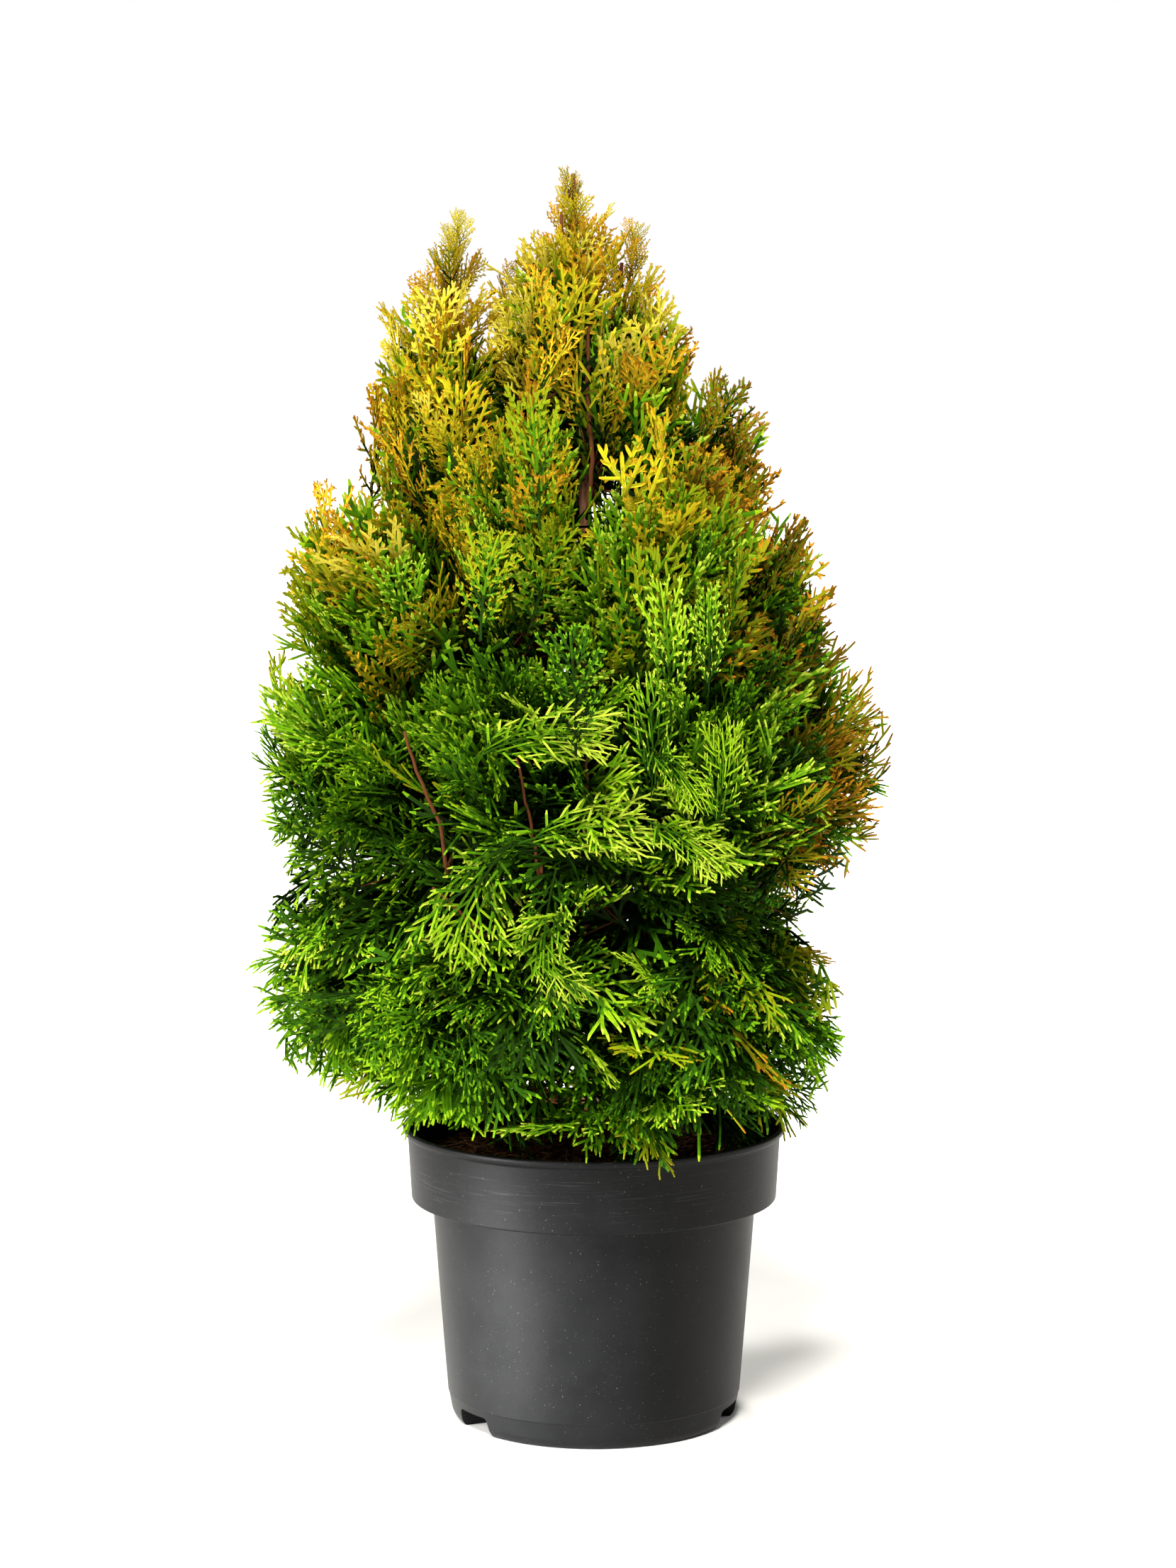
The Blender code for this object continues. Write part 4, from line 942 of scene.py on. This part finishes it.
class Crown:
    """The room that all the foliage may fill."""

    def __init__(self, cells):
        self.centres = np.array([cell.centre for cell in cells.values()])
        proud = [PROUD if cell.mass.rise > PLUME_RISE else LOW_PROUD for cell in cells.values()]
        self.reaches = np.array([cell.reach for cell in cells.values()]) + np.array(proud)[:, None]
        self.powers = np.array([cell.power for cell in cells.values()])

    def filled(self, points):
        """Which points lie in the space of a mass."""
        away = (points[:, None] - self.centres) / self.reaches
        return (rounded(away, self.powers) < 1.0).any(axis=1)

    def front(self, x, z):
        """The y where the crown starts, seen from the front."""
        depths = np.arange(FRONT_Y, 0.0, FRONT_STEP)
        points = np.column_stack((np.full(len(depths), x), depths, np.full(len(depths), z)))
        return depths[int(np.argmax(self.filled(points)))]

    def holds(self, points):
        inside = self.filled(points)
        for gap in GAPS:
            inside &= ~gap_holds(gap, points)
        radius = np.linalg.norm(points[:, :2], axis=1)
        wall = COLLAR_FOOT_RADIUS - WALL - POT_CLEARANCE
        within = np.minimum(wall - radius, points[:, 2] - COMPOST_TOP_Z)
        room = np.maximum(np.maximum(points[:, 2] - POT_HEIGHT, radius - RIM_RADIUS), within)
        return inside & (room > POT_CLEARANCE) & (points[:, 2] < TOP_Z)


def spray_way(cell, place, rng):
    """The way that foliage points at a place: out from the mass, and more upright higher up."""
    normal = unit((place - cell.centre) / cell.reach**2)
    x, y = (place - trunk_point(min(place[2], TRUNK_TIP_Z)))[:2]
    plumy = ramped(place[2], *PLUME_HEIGHTS)
    spread = TURN_SPREADS[0] + (TURN_SPREADS[1] - TURN_SPREADS[0]) * plumy
    turn = math.atan2(y, x) + rng.uniform(-spread, spread)
    rise = math.radians(np.interp(place[2], RISE_HEIGHTS, RISES) + rng.gauss(0.0, RISE_SPREAD))
    jitter = np.array([rng.uniform(-WAY_SPREAD, WAY_SPREAD) for _ in range(3)])
    return unit(OUT_PULL * normal + (1 - OUT_PULL) * risen(turn, rise) + jitter)


def spiral_ways(count):
    heights = 1 - 2 * (np.arange(count) + 0.5) / count
    rings, turns = np.sqrt(1 - heights**2), GOLDEN_ANGLE * np.arange(count)
    return np.column_stack((rings * np.cos(turns), rings * np.sin(turns), heights))


def spots(cell, density, share):
    """Evenly spread spots on a mass's space, at a share of the way out of it."""
    x, y, z = cell.reach**AREA_POWER
    area = 4 * math.pi * ((x * y + x * z + y * z) / 3) ** (1 / AREA_POWER)
    ways = spiral_ways(round(area * density))
    flat, shell = cell.edges_along(ways)
    outwards = ways @ cell.way_out_of_crown()
    open_side = (shell <= flat * FLAT_SHARE) & (outwards > OUTER_LIMIT)
    if share < TIP_SHARE:
        open_side = open_side | (outwards > INNER_LIMIT)
    reach = np.minimum(flat * FLAT_SHARE, shell)
    return (cell.centre + ways * reach[:, None] * share)[open_side]


def ramped(value, low, high):
    return min(1.0, max(0.0, (value - low) / (high - low)))


def picked(rng, **weights):
    return rng.choices(list(weights), list(weights.values()))[0]


def patchiness(place):
    """A smooth wave through the crown, from -1 to 1, that groups sprays of like tints."""
    x, y, z = place * PATCH_PITCH
    return math.sin(x + 1.3 * z) * math.cos(1.7 * y - 0.6 * x) * math.sin(0.8 * z - y + 0.7)


def kind_of_spray(place, depth, rng):
    """The kind of spray by its height, side and depth: gold at the top, partly the plant's own and
    partly painted light; darker bronze and moss at the right and behind, painted shade with some of
    the plant's own bronze; lighter lime at the front's middle and on the left, painted light; deep
    green low down, partly painted shade; the darkest kinds inside and in the centre, painted shade."""
    x, y, z = place
    # Inner sprays take the darkest kinds, a little lighter near the top: painted shade deep in the
    # crown.
    if depth < 0.7:
        return picked(rng, shade=1.0, deep=0.1 + 0.5 * ramped(z, 0.55, 0.66))
    top = ramped(z, 0.50, 0.64)
    # edge and low paint light: lighter kinds on the lit left side, more so low down.
    edge = ramped(-x, 0.06, 0.16)
    # Painted shade: darker bronze and moss kinds on the right and behind, away from the key light,
    # with some of the plant's own bronze.
    painted_shade_right_back = ramped(x + 0.5 * y, 0.02, 0.08) * ramped(z, 0.28, 0.42)
    painted_shade_right_back *= 1 - 0.9 * ramped(z, 0.62, 0.68)
    # Painted light: lighter lime and leaf kinds at the front's middle, where the light falls.
    painted_light_front = ramped(-y, 0.02, 0.09) * ramped(x, -0.09, -0.04)
    painted_light_front *= ramped(0.14 - abs(z - 0.37), 0.0, 0.07)
    low = edge * ramped(0.36 - z, 0.0, 0.06)
    # middle paints shade: darker kinds in the crown's centre.
    middle = ramped(0.11 - abs(x), 0.0, 0.05) * ramped(z, 0.34, 0.40) * ramped(0.62 - z, 0.0, 0.04)
    step = float(np.interp(z, LADDER_HEIGHTS, LADDER_STEPS))
    step += 0.9 * patchiness(place) + 0.5 * edge + 0.5 * low + rng.gauss(0.0, 0.8)
    # Painted shade: darker kinds towards the right side and in the centre.
    step -= 0.8 * ramped(x, 0.03, 0.13) + 0.5 * middle
    # The middle shell takes darker kinds: painted shade.
    if depth < 1.0:
        step *= 0.55
    elif rng.random() < 0.9 * painted_shade_right_back:
        mossy, green = 0.4 + 0.4 * top, 0.6 - 0.6 * top
        return picked(rng, bronze=0.3 + 1.3 * top, dusky=1.4 - top, mossy=mossy, green=green)
    elif z < 0.30 and x > 0.03 and rng.random() < 0.35:
        return picked(rng, mossy=1.0, fringed=0.8)
    elif rng.random() < 0.4 * painted_light_front:
        return picked(rng, lime=1.0, leaf=1.2)
    elif step > 5.0 and rng.random() < 0.28:
        return picked(rng, golden=1.0, mossy=0.4 if z < 0.6 else 0.0)
    return LADDER[min(len(LADDER) - 1, max(0, round(step)))]


class Sprays:
    """Collects placed fronds into one mesh."""

    def __init__(self):
        self.verts, self.faces, self.slots, self.uvs = [], [], [], []
        self.count = 0

    def place(self, frond, tip, way, side, length, curls, palette, crown):
        """Sets a frond so that its bent midrib ends at tip, and returns where it starts. Drops
        the strands that leave the crown, or only those above the top if crown is None."""
        local = bent(frond["verts"] * (length / FROND_LENGTH), curls, length)
        end = local[frond["tips"][0]]
        axes = np.array([way, side, np.cross(way, side)])
        verts = tip + (local - end) @ axes
        tips = verts[frond["tips"]]
        kept = crown.holds(tips) if crown else tips[:, 2] < TOP_Z
        for number, parent in enumerate(frond["parents"]):
            if parent >= 0 and not kept[parent]:
                kept[number] = False
        kept[0] = True
        shown = kept[frond["face_strand"]]
        used, faces = np.unique(frond["faces"][shown], return_inverse=True)
        numbers = np.array([TINT_NUMBER[tint] for tint in PALETTES[palette]])
        slots = numbers[frond["tones"][shown]]
        self.add(verts[used], faces.reshape(-1, 3), slots, frond["uvs"][used])
        return tip - end @ axes

    def add_limb(self, tint, path, radii, sides, rng, ridge=RIDGE_DEPTH):
        """A limb of one tint, with no scale leaves on it."""
        verts, faces = limb_mesh(path, radii, sides, rng, ridge)
        self.add(verts, faces, np.full(len(faces), TINT_NUMBER[tint]), np.zeros((len(verts), 2)))

    def add(self, verts, faces, slots, uvs):
        self.faces.append(faces + self.count)
        self.verts.append(verts)
        self.slots.append(slots)
        self.uvs.append(uvs)
        self.count += len(verts)

    def built(self, name, materials):
        verts, faces, uvs = (np.vstack(rows) for rows in (self.verts, self.faces, self.uvs))
        return mesh_object(name, verts, faces, materials, np.concatenate(self.slots), uvs)


def add_shown_stem(sprays, stem, points, rng):
    """A stem that shows through a gap, on from the nearest point of its mass's own stem."""
    shown = np.array([(x, stem.y, z) for x, z in stem.points])
    base = nearest(points, shown[0])
    joined = np.vstack((bezier(base, (base + 2 * shown[0]) / 3, shown[0], 5)[:-1], shown))
    run = runs_along(joined)
    even = np.linspace(0.0, run[-1], SHOWN_RINGS)
    path = np.column_stack([np.interp(even, run, joined[:, k]) for k in range(3)])
    path += np.array([[rng.uniform(-SHOWN_WOBBLE, SHOWN_WOBBLE) for _ in range(3)] for _ in path])
    radii = np.linspace(stem.radius, stem.radius * SHOWN_THINNING, SHOWN_RINGS)
    sprays.add_limb("shoot", path, radii, 7, rng)


def add_facing_spray(sprays, spray, fronds, crown, rng):
    """A spray that lies flat to the front of the crown."""
    ends = (spray.root, spray.tip)
    root, tip = (np.array([x, crown.front(x, z) + FACING_DEPTH, z]) for x, z in ends)
    way = unit(tip - root)
    side = unit(np.cross((0.0, -1.0, 0.0), way))
    length = float(np.linalg.norm(tip - root))
    frond = dict(rng.choice(fronds[spray.style]))
    frond["verts"] = frond["verts"] * (1.0, spray.wide, 1.0)
    sprays.place(frond, tip, way, side, length, (spray.arch, 0.0), spray.kind, None)


def add_top_shoot(sprays, shoot, fronds, rng):
    """The leafy shoot that tops a leader: a straight twig with sprays that rise all round it,
    shorter towards its tip."""
    foot, tip = np.array(shoot.foot), np.array(shoot.tip)
    path = bezier(foot, (foot + tip) / 2, tip, 12)
    sprays.add_limb("ochre", path, np.linspace(*TOP_SHOOT_RADII, len(path)), 5, rng, 0.0)
    for i in range(shoot.count):
        share = (i + TOP_SHOOT_START) / shoot.count
        root = foot + (tip - foot) * share
        length = (shoot.low + (shoot.high - shoot.low) * share) * rng.uniform(*TOP_SHOOT_LENGTHS)
        rise = np.interp(share, (0, 1), TOP_SHOOT_RISES) + rng.gauss(0.0, TOP_SHOOT_SPREAD)
        way = risen(i * GOLDEN_ANGLE, math.radians(rise))
        length = min(length, (TOP_Z - root[2]) / way[2])
        side = rolled_side(way, rng)
        kind = picked(rng, straw=0.5, yellow=0.8, golden=1.2, olive=0.6)
        frond = rng.choice(fronds["plume"])
        sprays.place(frond, root + way * length, way, side, length, (0.0, 0.0), kind, None)


def add_spray(sprays, cell, spot, depth, points, fronds, crown, rng):
    """A spray that ends at a spot of a mass, and the twig from the mass's stem that carries it."""
    spot = cell.centre + (spot - cell.centre) * (1 - abs(rng.gauss(0, TIP_SCATTER)))
    way = spray_way(cell, spot, rng)
    length = rng.uniform(*FROND_LENGTHS) * (NARROW_LENGTH if cell.narrow else 1.0)
    if not crown.filled((spot - way * length)[None])[0]:
        return
    side = rolled_side(way, rng)
    droop = rng.uniform(*CURLS) + float(np.interp(spot[2], DROOP_HEIGHTS, DROOPS))
    curls = (droop * float(side @ UP), droop * float(np.cross(way, side) @ UP))
    style = "plume" if rng.random() < ramped(spot[2], *PLUME_HEIGHTS) else "fan"
    frond = rng.choice(fronds[style if depth == 1.0 else "inner"])
    kind = kind_of_spray(spot, depth, rng)
    root = sprays.place(frond, spot, way, side, length, curls, kind, crown)
    base = nearest(points, root - way * SPRAY_TWIG_LEAD)
    middle = (base + root) / 2 - way * SPRAY_TWIG_SAG
    path = bezier(base, middle, root + way * SPRAY_TWIG_OVERLAP, 4)
    sprays.add_limb("shoot", path, np.linspace(*SPRAY_TWIG_RADII, len(path)), 3, rng, 0.0)


def build_foliage(cell, stem, fronds, crown, materials):
    """Every spray of a mass and the twigs that carry them, as one piece."""
    rng = random.Random(f"{SEED} {cell.name}")
    sprays = Sprays()
    points, radii = along_curve(*stem, LIMB_RING_STEP)
    sprays.add_limb("shoot", points, np.maximum(radii, SPRAY_TWIG_RADII[0]), 6, rng)
    outer = "plume" if cell.mass.rise > PLUME_RISE else "fan"
    for depth, density in ((1.0, FRONDS[outer].density), *INNER_SHELLS):
        for spot in spots(cell, density, depth * TIP_SHARE):
            add_spray(sprays, cell, spot, depth, points, fronds, crown, rng)
    for shown in SHOWN_STEMS:
        if shown.mass == cell.name:
            add_shown_stem(sprays, shown, points, rng)
    for facing in FACING_SPRAYS:
        if facing.mass == cell.name:
            add_facing_spray(sprays, facing, fronds, crown, rng)
    if cell.name in TOP_SHOOTS:
        add_top_shoot(sprays, TOP_SHOOTS[cell.name], fronds, rng)
    made = sprays.built(f"foliage_{cell.name}_sprays", materials)
    slot = "foliage_green"
    if cell.mass.z > GOLD_Z:
        slot = "foliage_gold"
    elif cell.mass.z > LIME_Z:
        slot = "foliage_lime"
    dress(made, slot, f"foliage_{cell.name}")


# ---- pot and compost


def filleted(corners):
    """(radius, height) points with each corner rounded by its own third value."""
    found = []
    last = len(corners) - 1
    for i, (x, z, fillet) in enumerate(corners):
        here = np.array([x, z])
        if fillet == 0 or i in (0, last):
            found.append(here)
            continue
        back = unit(np.array(corners[i - 1][:2]) - here)
        ahead = unit(np.array(corners[i + 1][:2]) - here)
        found.extend(bezier(here + back * fillet, here, here + ahead * fillet, FILLET_STEPS))
    return [tuple(point) for point in found]


def freed(bm, name):
    """An object with a bmesh's faces."""
    mesh = bpy.data.meshes.new(name)
    bm.to_mesh(mesh)
    bm.free()
    return linked(name, mesh)


def lathed(name, profile, steps):
    bm = bmesh.new()
    verts = [bm.verts.new((radius, 0.0, height)) for radius, height in profile]
    edges = [bm.edges.new(pair) for pair in zip(verts, verts[1:])]
    bmesh.ops.spin(bm, geom=verts + edges, cent=(0, 0, 0), axis=(0, 0, 1), angle=2 * math.pi,
                   steps=steps, use_merge=True)
    bmesh.ops.remove_doubles(bm, verts=bm.verts, dist=1e-6)
    bmesh.ops.recalc_face_normals(bm, faces=bm.faces)
    return freed(bm, name)


def notch_cutter(name, azimuth, grow):
    """A rounded block that cuts one drainage notch, grown by the wall for the roof inside."""
    widening = math.tan(math.radians(NOTCH_HALF_WIDTH))
    top = NOTCH_HEIGHT + grow
    along, across = outward(azimuth), outward(azimuth + 90)
    bm = bmesh.new()
    ends = []
    for reach in (NOTCH_INNER_RADIUS - grow, RIM_RADIUS):
        wide = reach * widening + grow
        half = filleted([
            (wide + NOTCH_FLARE, -NOTCH_CUT_DEPTH, 0.0),
            (wide, top - NOTCH_SHOULDER, NOTCH_SIDE_FILLET),
            (wide - NOTCH_ROUND * 0.2, top, NOTCH_ROUND * 0.8),
            (0.0, top, 0.0),
        ])[:-1]
        section = half + [(-aside, height) for aside, height in reversed(half)]
        places = [(*(reach * along + aside * across)[:2], high) for aside, high in section]
        ends.append([bm.verts.new(place) for place in places])
    for k in range(len(section)):
        after = (k + 1) % len(section)
        bm.faces.new((ends[0][k], ends[0][after], ends[1][after], ends[1][k]))
    bm.faces.new(list(reversed(ends[0])))
    bm.faces.new(ends[1])
    bmesh.ops.recalc_face_normals(bm, faces=bm.faces)
    return freed(bm, name)


def slot_cutter(azimuth):
    """A block that cuts the drainage slot in a notch's roof."""
    bm = bmesh.new()
    bmesh.ops.create_cube(bm, size=1.0)
    inner, outer = SLOT_RADII
    bmesh.ops.scale(bm, vec=(2 * SLOT_HALF_WIDTH, outer - inner, NOTCH_HEIGHT), verts=bm.verts)
    spin = Matrix.Rotation(math.radians(azimuth), 4, "Z")
    centre = Vector(outward(azimuth) * (inner + outer) / 2) + Vector((0, 0, NOTCH_HEIGHT))
    bm.transform(Matrix.Translation(centre) @ spin)
    return freed(bm, f"slot_cutter_{azimuth:.0f}")


def cut_away(item, cutters):
    """Cuts each cutter out of the item and removes it."""
    for cutter in cutters:
        modifier = item.modifiers.new("Cut", "BOOLEAN")
        modifier.operation = "DIFFERENCE"
        modifier.object = cutter
        modifier.solver = "EXACT"
    graph = bpy.context.evaluated_depsgraph_get()
    mesh = bpy.data.meshes.new_from_object(item.evaluated_get(graph))
    item.modifiers.clear()
    item.data = mesh
    for cutter in cutters:
        bpy.data.objects.remove(cutter, do_unlink=True)


def build_pot(plastic):
    """The pot with its rolled lip, stepped collar, seam and notched foot."""
    lip_foot = POT_HEIGHT - LIP_HEIGHT
    slope = (COLLAR_TOP_RADIUS - COLLAR_FOOT_RADIUS) / (lip_foot - COLLAR_FOOT_Z)
    outside = filleted([
        (0.0, 0.0, 0.0),
        (BASE_RADIUS + 0.0016, 0.0, 0.0018),
        (BASE_RADIUS + 0.0044, 0.0042, 0.0022),
        (BODY_FOOT_RADIUS - 0.0004, BODY_FOOT_Z - 0.0004, 0.0003),
        (BODY_FOOT_RADIUS, BODY_FOOT_Z, 0.0003),
        (BODY_TOP_RADIUS, COLLAR_FOOT_Z, 0.0010),
        (COLLAR_FOOT_RADIUS - 0.0022, COLLAR_FOOT_Z - 0.0002, 0.0004),
        (COLLAR_FOOT_RADIUS, COLLAR_FOOT_Z + 0.0006, 0.0008),
        (COLLAR_TOP_RADIUS, lip_foot, 0.0008),
        (RIM_RADIUS - 0.0003, lip_foot + 0.0018, 0.0012),
        (RIM_RADIUS, POT_HEIGHT, 0.0016),
        (COLLAR_TOP_RADIUS - 0.0004, POT_HEIGHT - 0.0001, 0.0010),
        (COLLAR_TOP_RADIUS - WALL, lip_foot, 0.0008),
    ])
    inside = filleted([
        (COLLAR_TOP_RADIUS - WALL, lip_foot, 0.0),
        (COLLAR_FOOT_RADIUS - WALL, COLLAR_FOOT_Z + WALL, 0.001),
        (BODY_TOP_RADIUS - WALL, COLLAR_FOOT_Z + WALL / 2, 0.001),
        (BODY_FOOT_RADIUS - WALL, BODY_FOOT_Z, 0.001),
        (BASE_RADIUS, WALL, 0.001),
        (0.0, WALL, 0.0),
    ])
    whole = [*filleted([(x, z, 0.0) for x, z in outside]), (0.0, lip_foot)]
    pot = lathed("pot_shell", whole, POT_STEPS)
    mouth = lip_foot + CAVITY_RISE
    brim = [(COLLAR_TOP_RADIUS - WALL + slope * CAVITY_RISE, mouth), (0.0, mouth)]
    cavity = lathed("pot_cavity", [*inside[::-1], *brim], POT_STEPS)
    cut_away(cavity, [notch_cutter(f"notch_roof_{k:.0f}", k, WALL) for k in NOTCH_AZIMUTHS])
    notches = [notch_cutter(f"notch_{k:.0f}", k, 0.0) for k in NOTCH_AZIMUTHS]
    slots = [slot_cutter(azimuth) for azimuth in NOTCH_AZIMUTHS]
    cut_away(pot, [cavity, *notches, *slots])
    pot.data.materials.clear()
    pot.data.materials.append(plastic)
    pot.data.shade_smooth()
    pot.data.set_sharp_from_angle(angle=math.radians(SHARP_EDGE))
    dress(pot, "pot", "pot")


def wave_noise(x, y, seeds, scale):
    """A cheap rolling noise from a few seeded waves."""
    total = np.zeros_like(x)
    for (way, phase, pitch), share in zip(seeds, WAVE_SHARES):
        total += share * np.sin((x * math.cos(way) + y * math.sin(way)) * scale * pitch + phase)
    return total / WAVE_LEVEL


def compost_height(x, y, seeds):
    """The compost's surface: a low mound, clods and crumbs."""
    radius = np.hypot(x, y)
    rise = np.clip(MOUND_SLOPE - radius / MOUND_RADIUS, 0, 1)
    mound = COMPOST_EDGE_Z + (COMPOST_TOP_Z - COMPOST_EDGE_Z) * rise
    clods = CLODS[0] * wave_noise(x, y, seeds, CLODS[1])
    clods += CRUMBS[0] * wave_noise(y, x, seeds, CRUMBS[1])
    return mound + clods * np.clip((radius - BARE_RADIUS) / BARE_FADE, 0.0, 1.0) - COMPOST_SUNK


def build_compost(earth, litter):
    """The compost's surface, closed underneath, and its litter."""
    rng = random.Random(SEED + 1)
    ranges = ((0, 2 * math.pi), (0, 2 * math.pi), (0.6, 1.5))
    seeds = [tuple(rng.uniform(*ends) for ends in ranges) for _ in WAVE_SHARES]
    radii = COMPOST_EDGE_RADIUS * np.arange(1, COMPOST_RINGS + 1) / COMPOST_RINGS
    turns = np.arange(COMPOST_STEPS) * 2 * math.pi / COMPOST_STEPS
    x = (radii[:, None] * np.cos(turns)).ravel()
    y = (radii[:, None] * np.sin(turns)).ravel()
    top = np.column_stack((x, y, compost_height(x, y, seeds)))
    skirt = top[-COMPOST_STEPS:] * (COMPOST_TAPER, COMPOST_TAPER, 0.0)
    skirt[:, 2] = COMPOST_EDGE_Z - COMPOST_DEPTH
    middle = (0.0, 0.0, compost_height(np.zeros(1), np.zeros(1), seeds)[0])
    verts = np.vstack((top, skirt, middle, (0.0, 0.0, COMPOST_EDGE_Z - COMPOST_DEPTH)))
    faces = tube(COMPOST_RINGS + 1, COMPOST_STEPS)[:, [0, 2, 1]]
    dress(mesh_object("compost_bed", verts, faces, [earth]), "compost", "compost")
    build_litter(litter, seeds, rng)


def build_litter(litter, seeds, rng):
    """Dry needles, fibres and crumbs of bark that lie on the compost."""
    verts, faces, count = [], [], 0
    for _ in range(LITTER_COUNT):
        radius = (COMPOST_EDGE_RADIUS - 0.006) * math.sqrt(rng.uniform(0.03, 1.0))
        turn, way = rng.uniform(0, 2 * math.pi), rng.uniform(0, 2 * math.pi)
        x, y = radius * math.cos(turn), radius * math.sin(turn)
        z = compost_height(np.array([x]), np.array([y]), seeds)[0] + rng.uniform(*LITTER_HEIGHTS)
        length = rng.uniform(*LITTER_LENGTHS)
        heading = np.array([math.cos(way), math.sin(way), rng.uniform(-0.12, 0.25)])
        bend = np.array([-math.sin(way), math.cos(way), 0.0]) * length * rng.uniform(-0.3, 0.3)
        start = np.array([x, y, z])
        path = bezier(start, start + heading * length / 2 + bend, start + heading * length, 4)
        if np.linalg.norm(path[:, :2], axis=1).max() > COMPOST_EDGE_RADIUS - LITTER_CLEARANCE:
            continue
        sizes = LITTER_HALF_WIDTH * rng.uniform(0.5, 1.6) * np.array(LITTER_TAPER)
        new, triangles = limb_mesh(path, sizes, 4, rng, 0.0)
        verts.append(new)
        faces.append(triangles + count)
        count += len(new)
    made = mesh_object("compost_litter", np.vstack(verts), np.vstack(faces), [litter])
    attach(made, "root")


# ---- stage


CAMERA_PLACE = (-0.0037, -2.30, 0.6495)
CAMERA_TILT = 0.1082  # radians below the level
CAMERA_LENS = 85.31
SENSOR_WIDTH = 36.0
CAMERA_SIGHT = 100.0
FLOOR_REACH = 30.0
FLOOR_TONE = 0.93
SEEN_WORLD = 1.0
AMBIENT = 0.08
WHITE = (1.0, 1.0, 1.0)
WARM = (1.0, 0.97, 0.89)
# Distant lights: their place, power, width in degrees and colour
SUNS = {
    "key": ((-0.25, -2.1, 2.9), 4.3, 14, WARM),
    "side": ((-2.4, -1.0, 1.8), 2.1, 20, WARM),
    "back": ((-1.0, 2.2, 1.9), 2.0, 20, WARM),
    "fill": ((2.5, 0.3, 1.3), 0.6, 30, WHITE),
}
# The low panel that gives the pot its sheen
PANEL_PLACE = (-0.93, -0.50, 0.055)
PANEL_TARGET = (-0.02, 0.0, 0.055)
PANEL_SIZE = (0.42, 0.10)
PANEL_POWER = 2.4
PANEL_SPREAD = 20  # degrees


def build_stage():
    """A pale floor that runs out of sight, and a camera where the photographer stood."""
    floor = Nodes("floor")
    floor.set(Base_Color=(FLOOR_TONE, FLOOR_TONE, FLOOR_TONE, 1.0), Roughness=0.9)
    corners = [(-1, -1, 0), (1, -1, 0), (1, 1, 0), (-1, 1, 0)]
    verts = np.array(corners) * FLOOR_REACH
    plane = mesh_object("floor", verts, [(0, 1, 2, 3)], [floor.made], smooth=False)
    camera = linked("camera", bpy.data.cameras.new("camera"))
    camera.location = CAMERA_PLACE
    camera.rotation_euler = (math.pi / 2 - CAMERA_TILT, 0.0, 0.0)
    camera.data.lens = CAMERA_LENS
    camera.data.sensor_width = SENSOR_WIDTH
    camera.data.clip_end = CAMERA_SIGHT
    bpy.context.scene.camera = camera


def lamp(kind, name, place, target, power):
    light = bpy.data.lights.new(name, kind)
    light.energy = power
    made = linked(name, light)
    made.location = place
    made.rotation_euler = (Vector(target) - Vector(place)).to_track_quat("-Z", "Y").to_euler()
    return made


def build_light():
    """A soft key from above on the front left, weaker lights from the sides and behind, and a
    low panel for the pot. The world is white to the eye and lights the plant more gently."""
    world = bpy.data.worlds.new("studio")
    world.use_nodes = True
    tree = world.node_tree
    seen, ambient = tree.nodes["Background"], tree.nodes.new("ShaderNodeBackground")
    seen.inputs["Strength"].default_value = SEEN_WORLD
    ambient.inputs["Strength"].default_value = AMBIENT
    for background in (seen, ambient):
        background.inputs["Color"].default_value = (1.0, 1.0, 1.0, 1.0)
    mix, path = tree.nodes.new("ShaderNodeMixShader"), tree.nodes.new("ShaderNodeLightPath")
    tree.links.new(path.outputs["Is Camera Ray"], mix.inputs["Fac"])
    tree.links.new(ambient.outputs[0], mix.inputs[1])
    tree.links.new(seen.outputs[0], mix.inputs[2])
    tree.links.new(mix.outputs[0], tree.nodes["World Output"].inputs["Surface"])
    bpy.context.scene.world = world
    for name, (place, power, softness, colour) in SUNS.items():
        sun = lamp("SUN", name, place, (0.0, 0.0, 0.0), power).data
        sun.angle = math.radians(softness)
        sun.color = colour
    panel = lamp("AREA", "pot_panel", PANEL_PLACE, PANEL_TARGET, PANEL_POWER)
    panel.data.shape = "RECTANGLE"
    panel.data.size, panel.data.size_y = PANEL_SIZE
    panel.data.spread = math.radians(PANEL_SPREAD)
    panel.visible_camera = False
    bpy.context.scene.view_settings.view_transform = "Standard"


# ---- the plant


def build_plant():
    cells = {name: Cell(name) for name in MASSES}
    stems = build_limbs(bark_material(), cells)
    rng = random.Random(SEED)
    fronds = {}
    for kind, style in FRONDS.items():
        fronds[kind] = [grow_frond(style, rng) for _ in range(FROND_VARIANTS)]
    materials = [leaf_material(name, colour) for name, colour in TINTS.items()]
    crown = Crown(cells)
    for name, cell in cells.items():
        build_foliage(cell, stems[name], fronds, crown, materials)


build_stage()
build_light()
build_pot(plastic_material())
build_compost(compost_material(), litter_material())
build_plant()
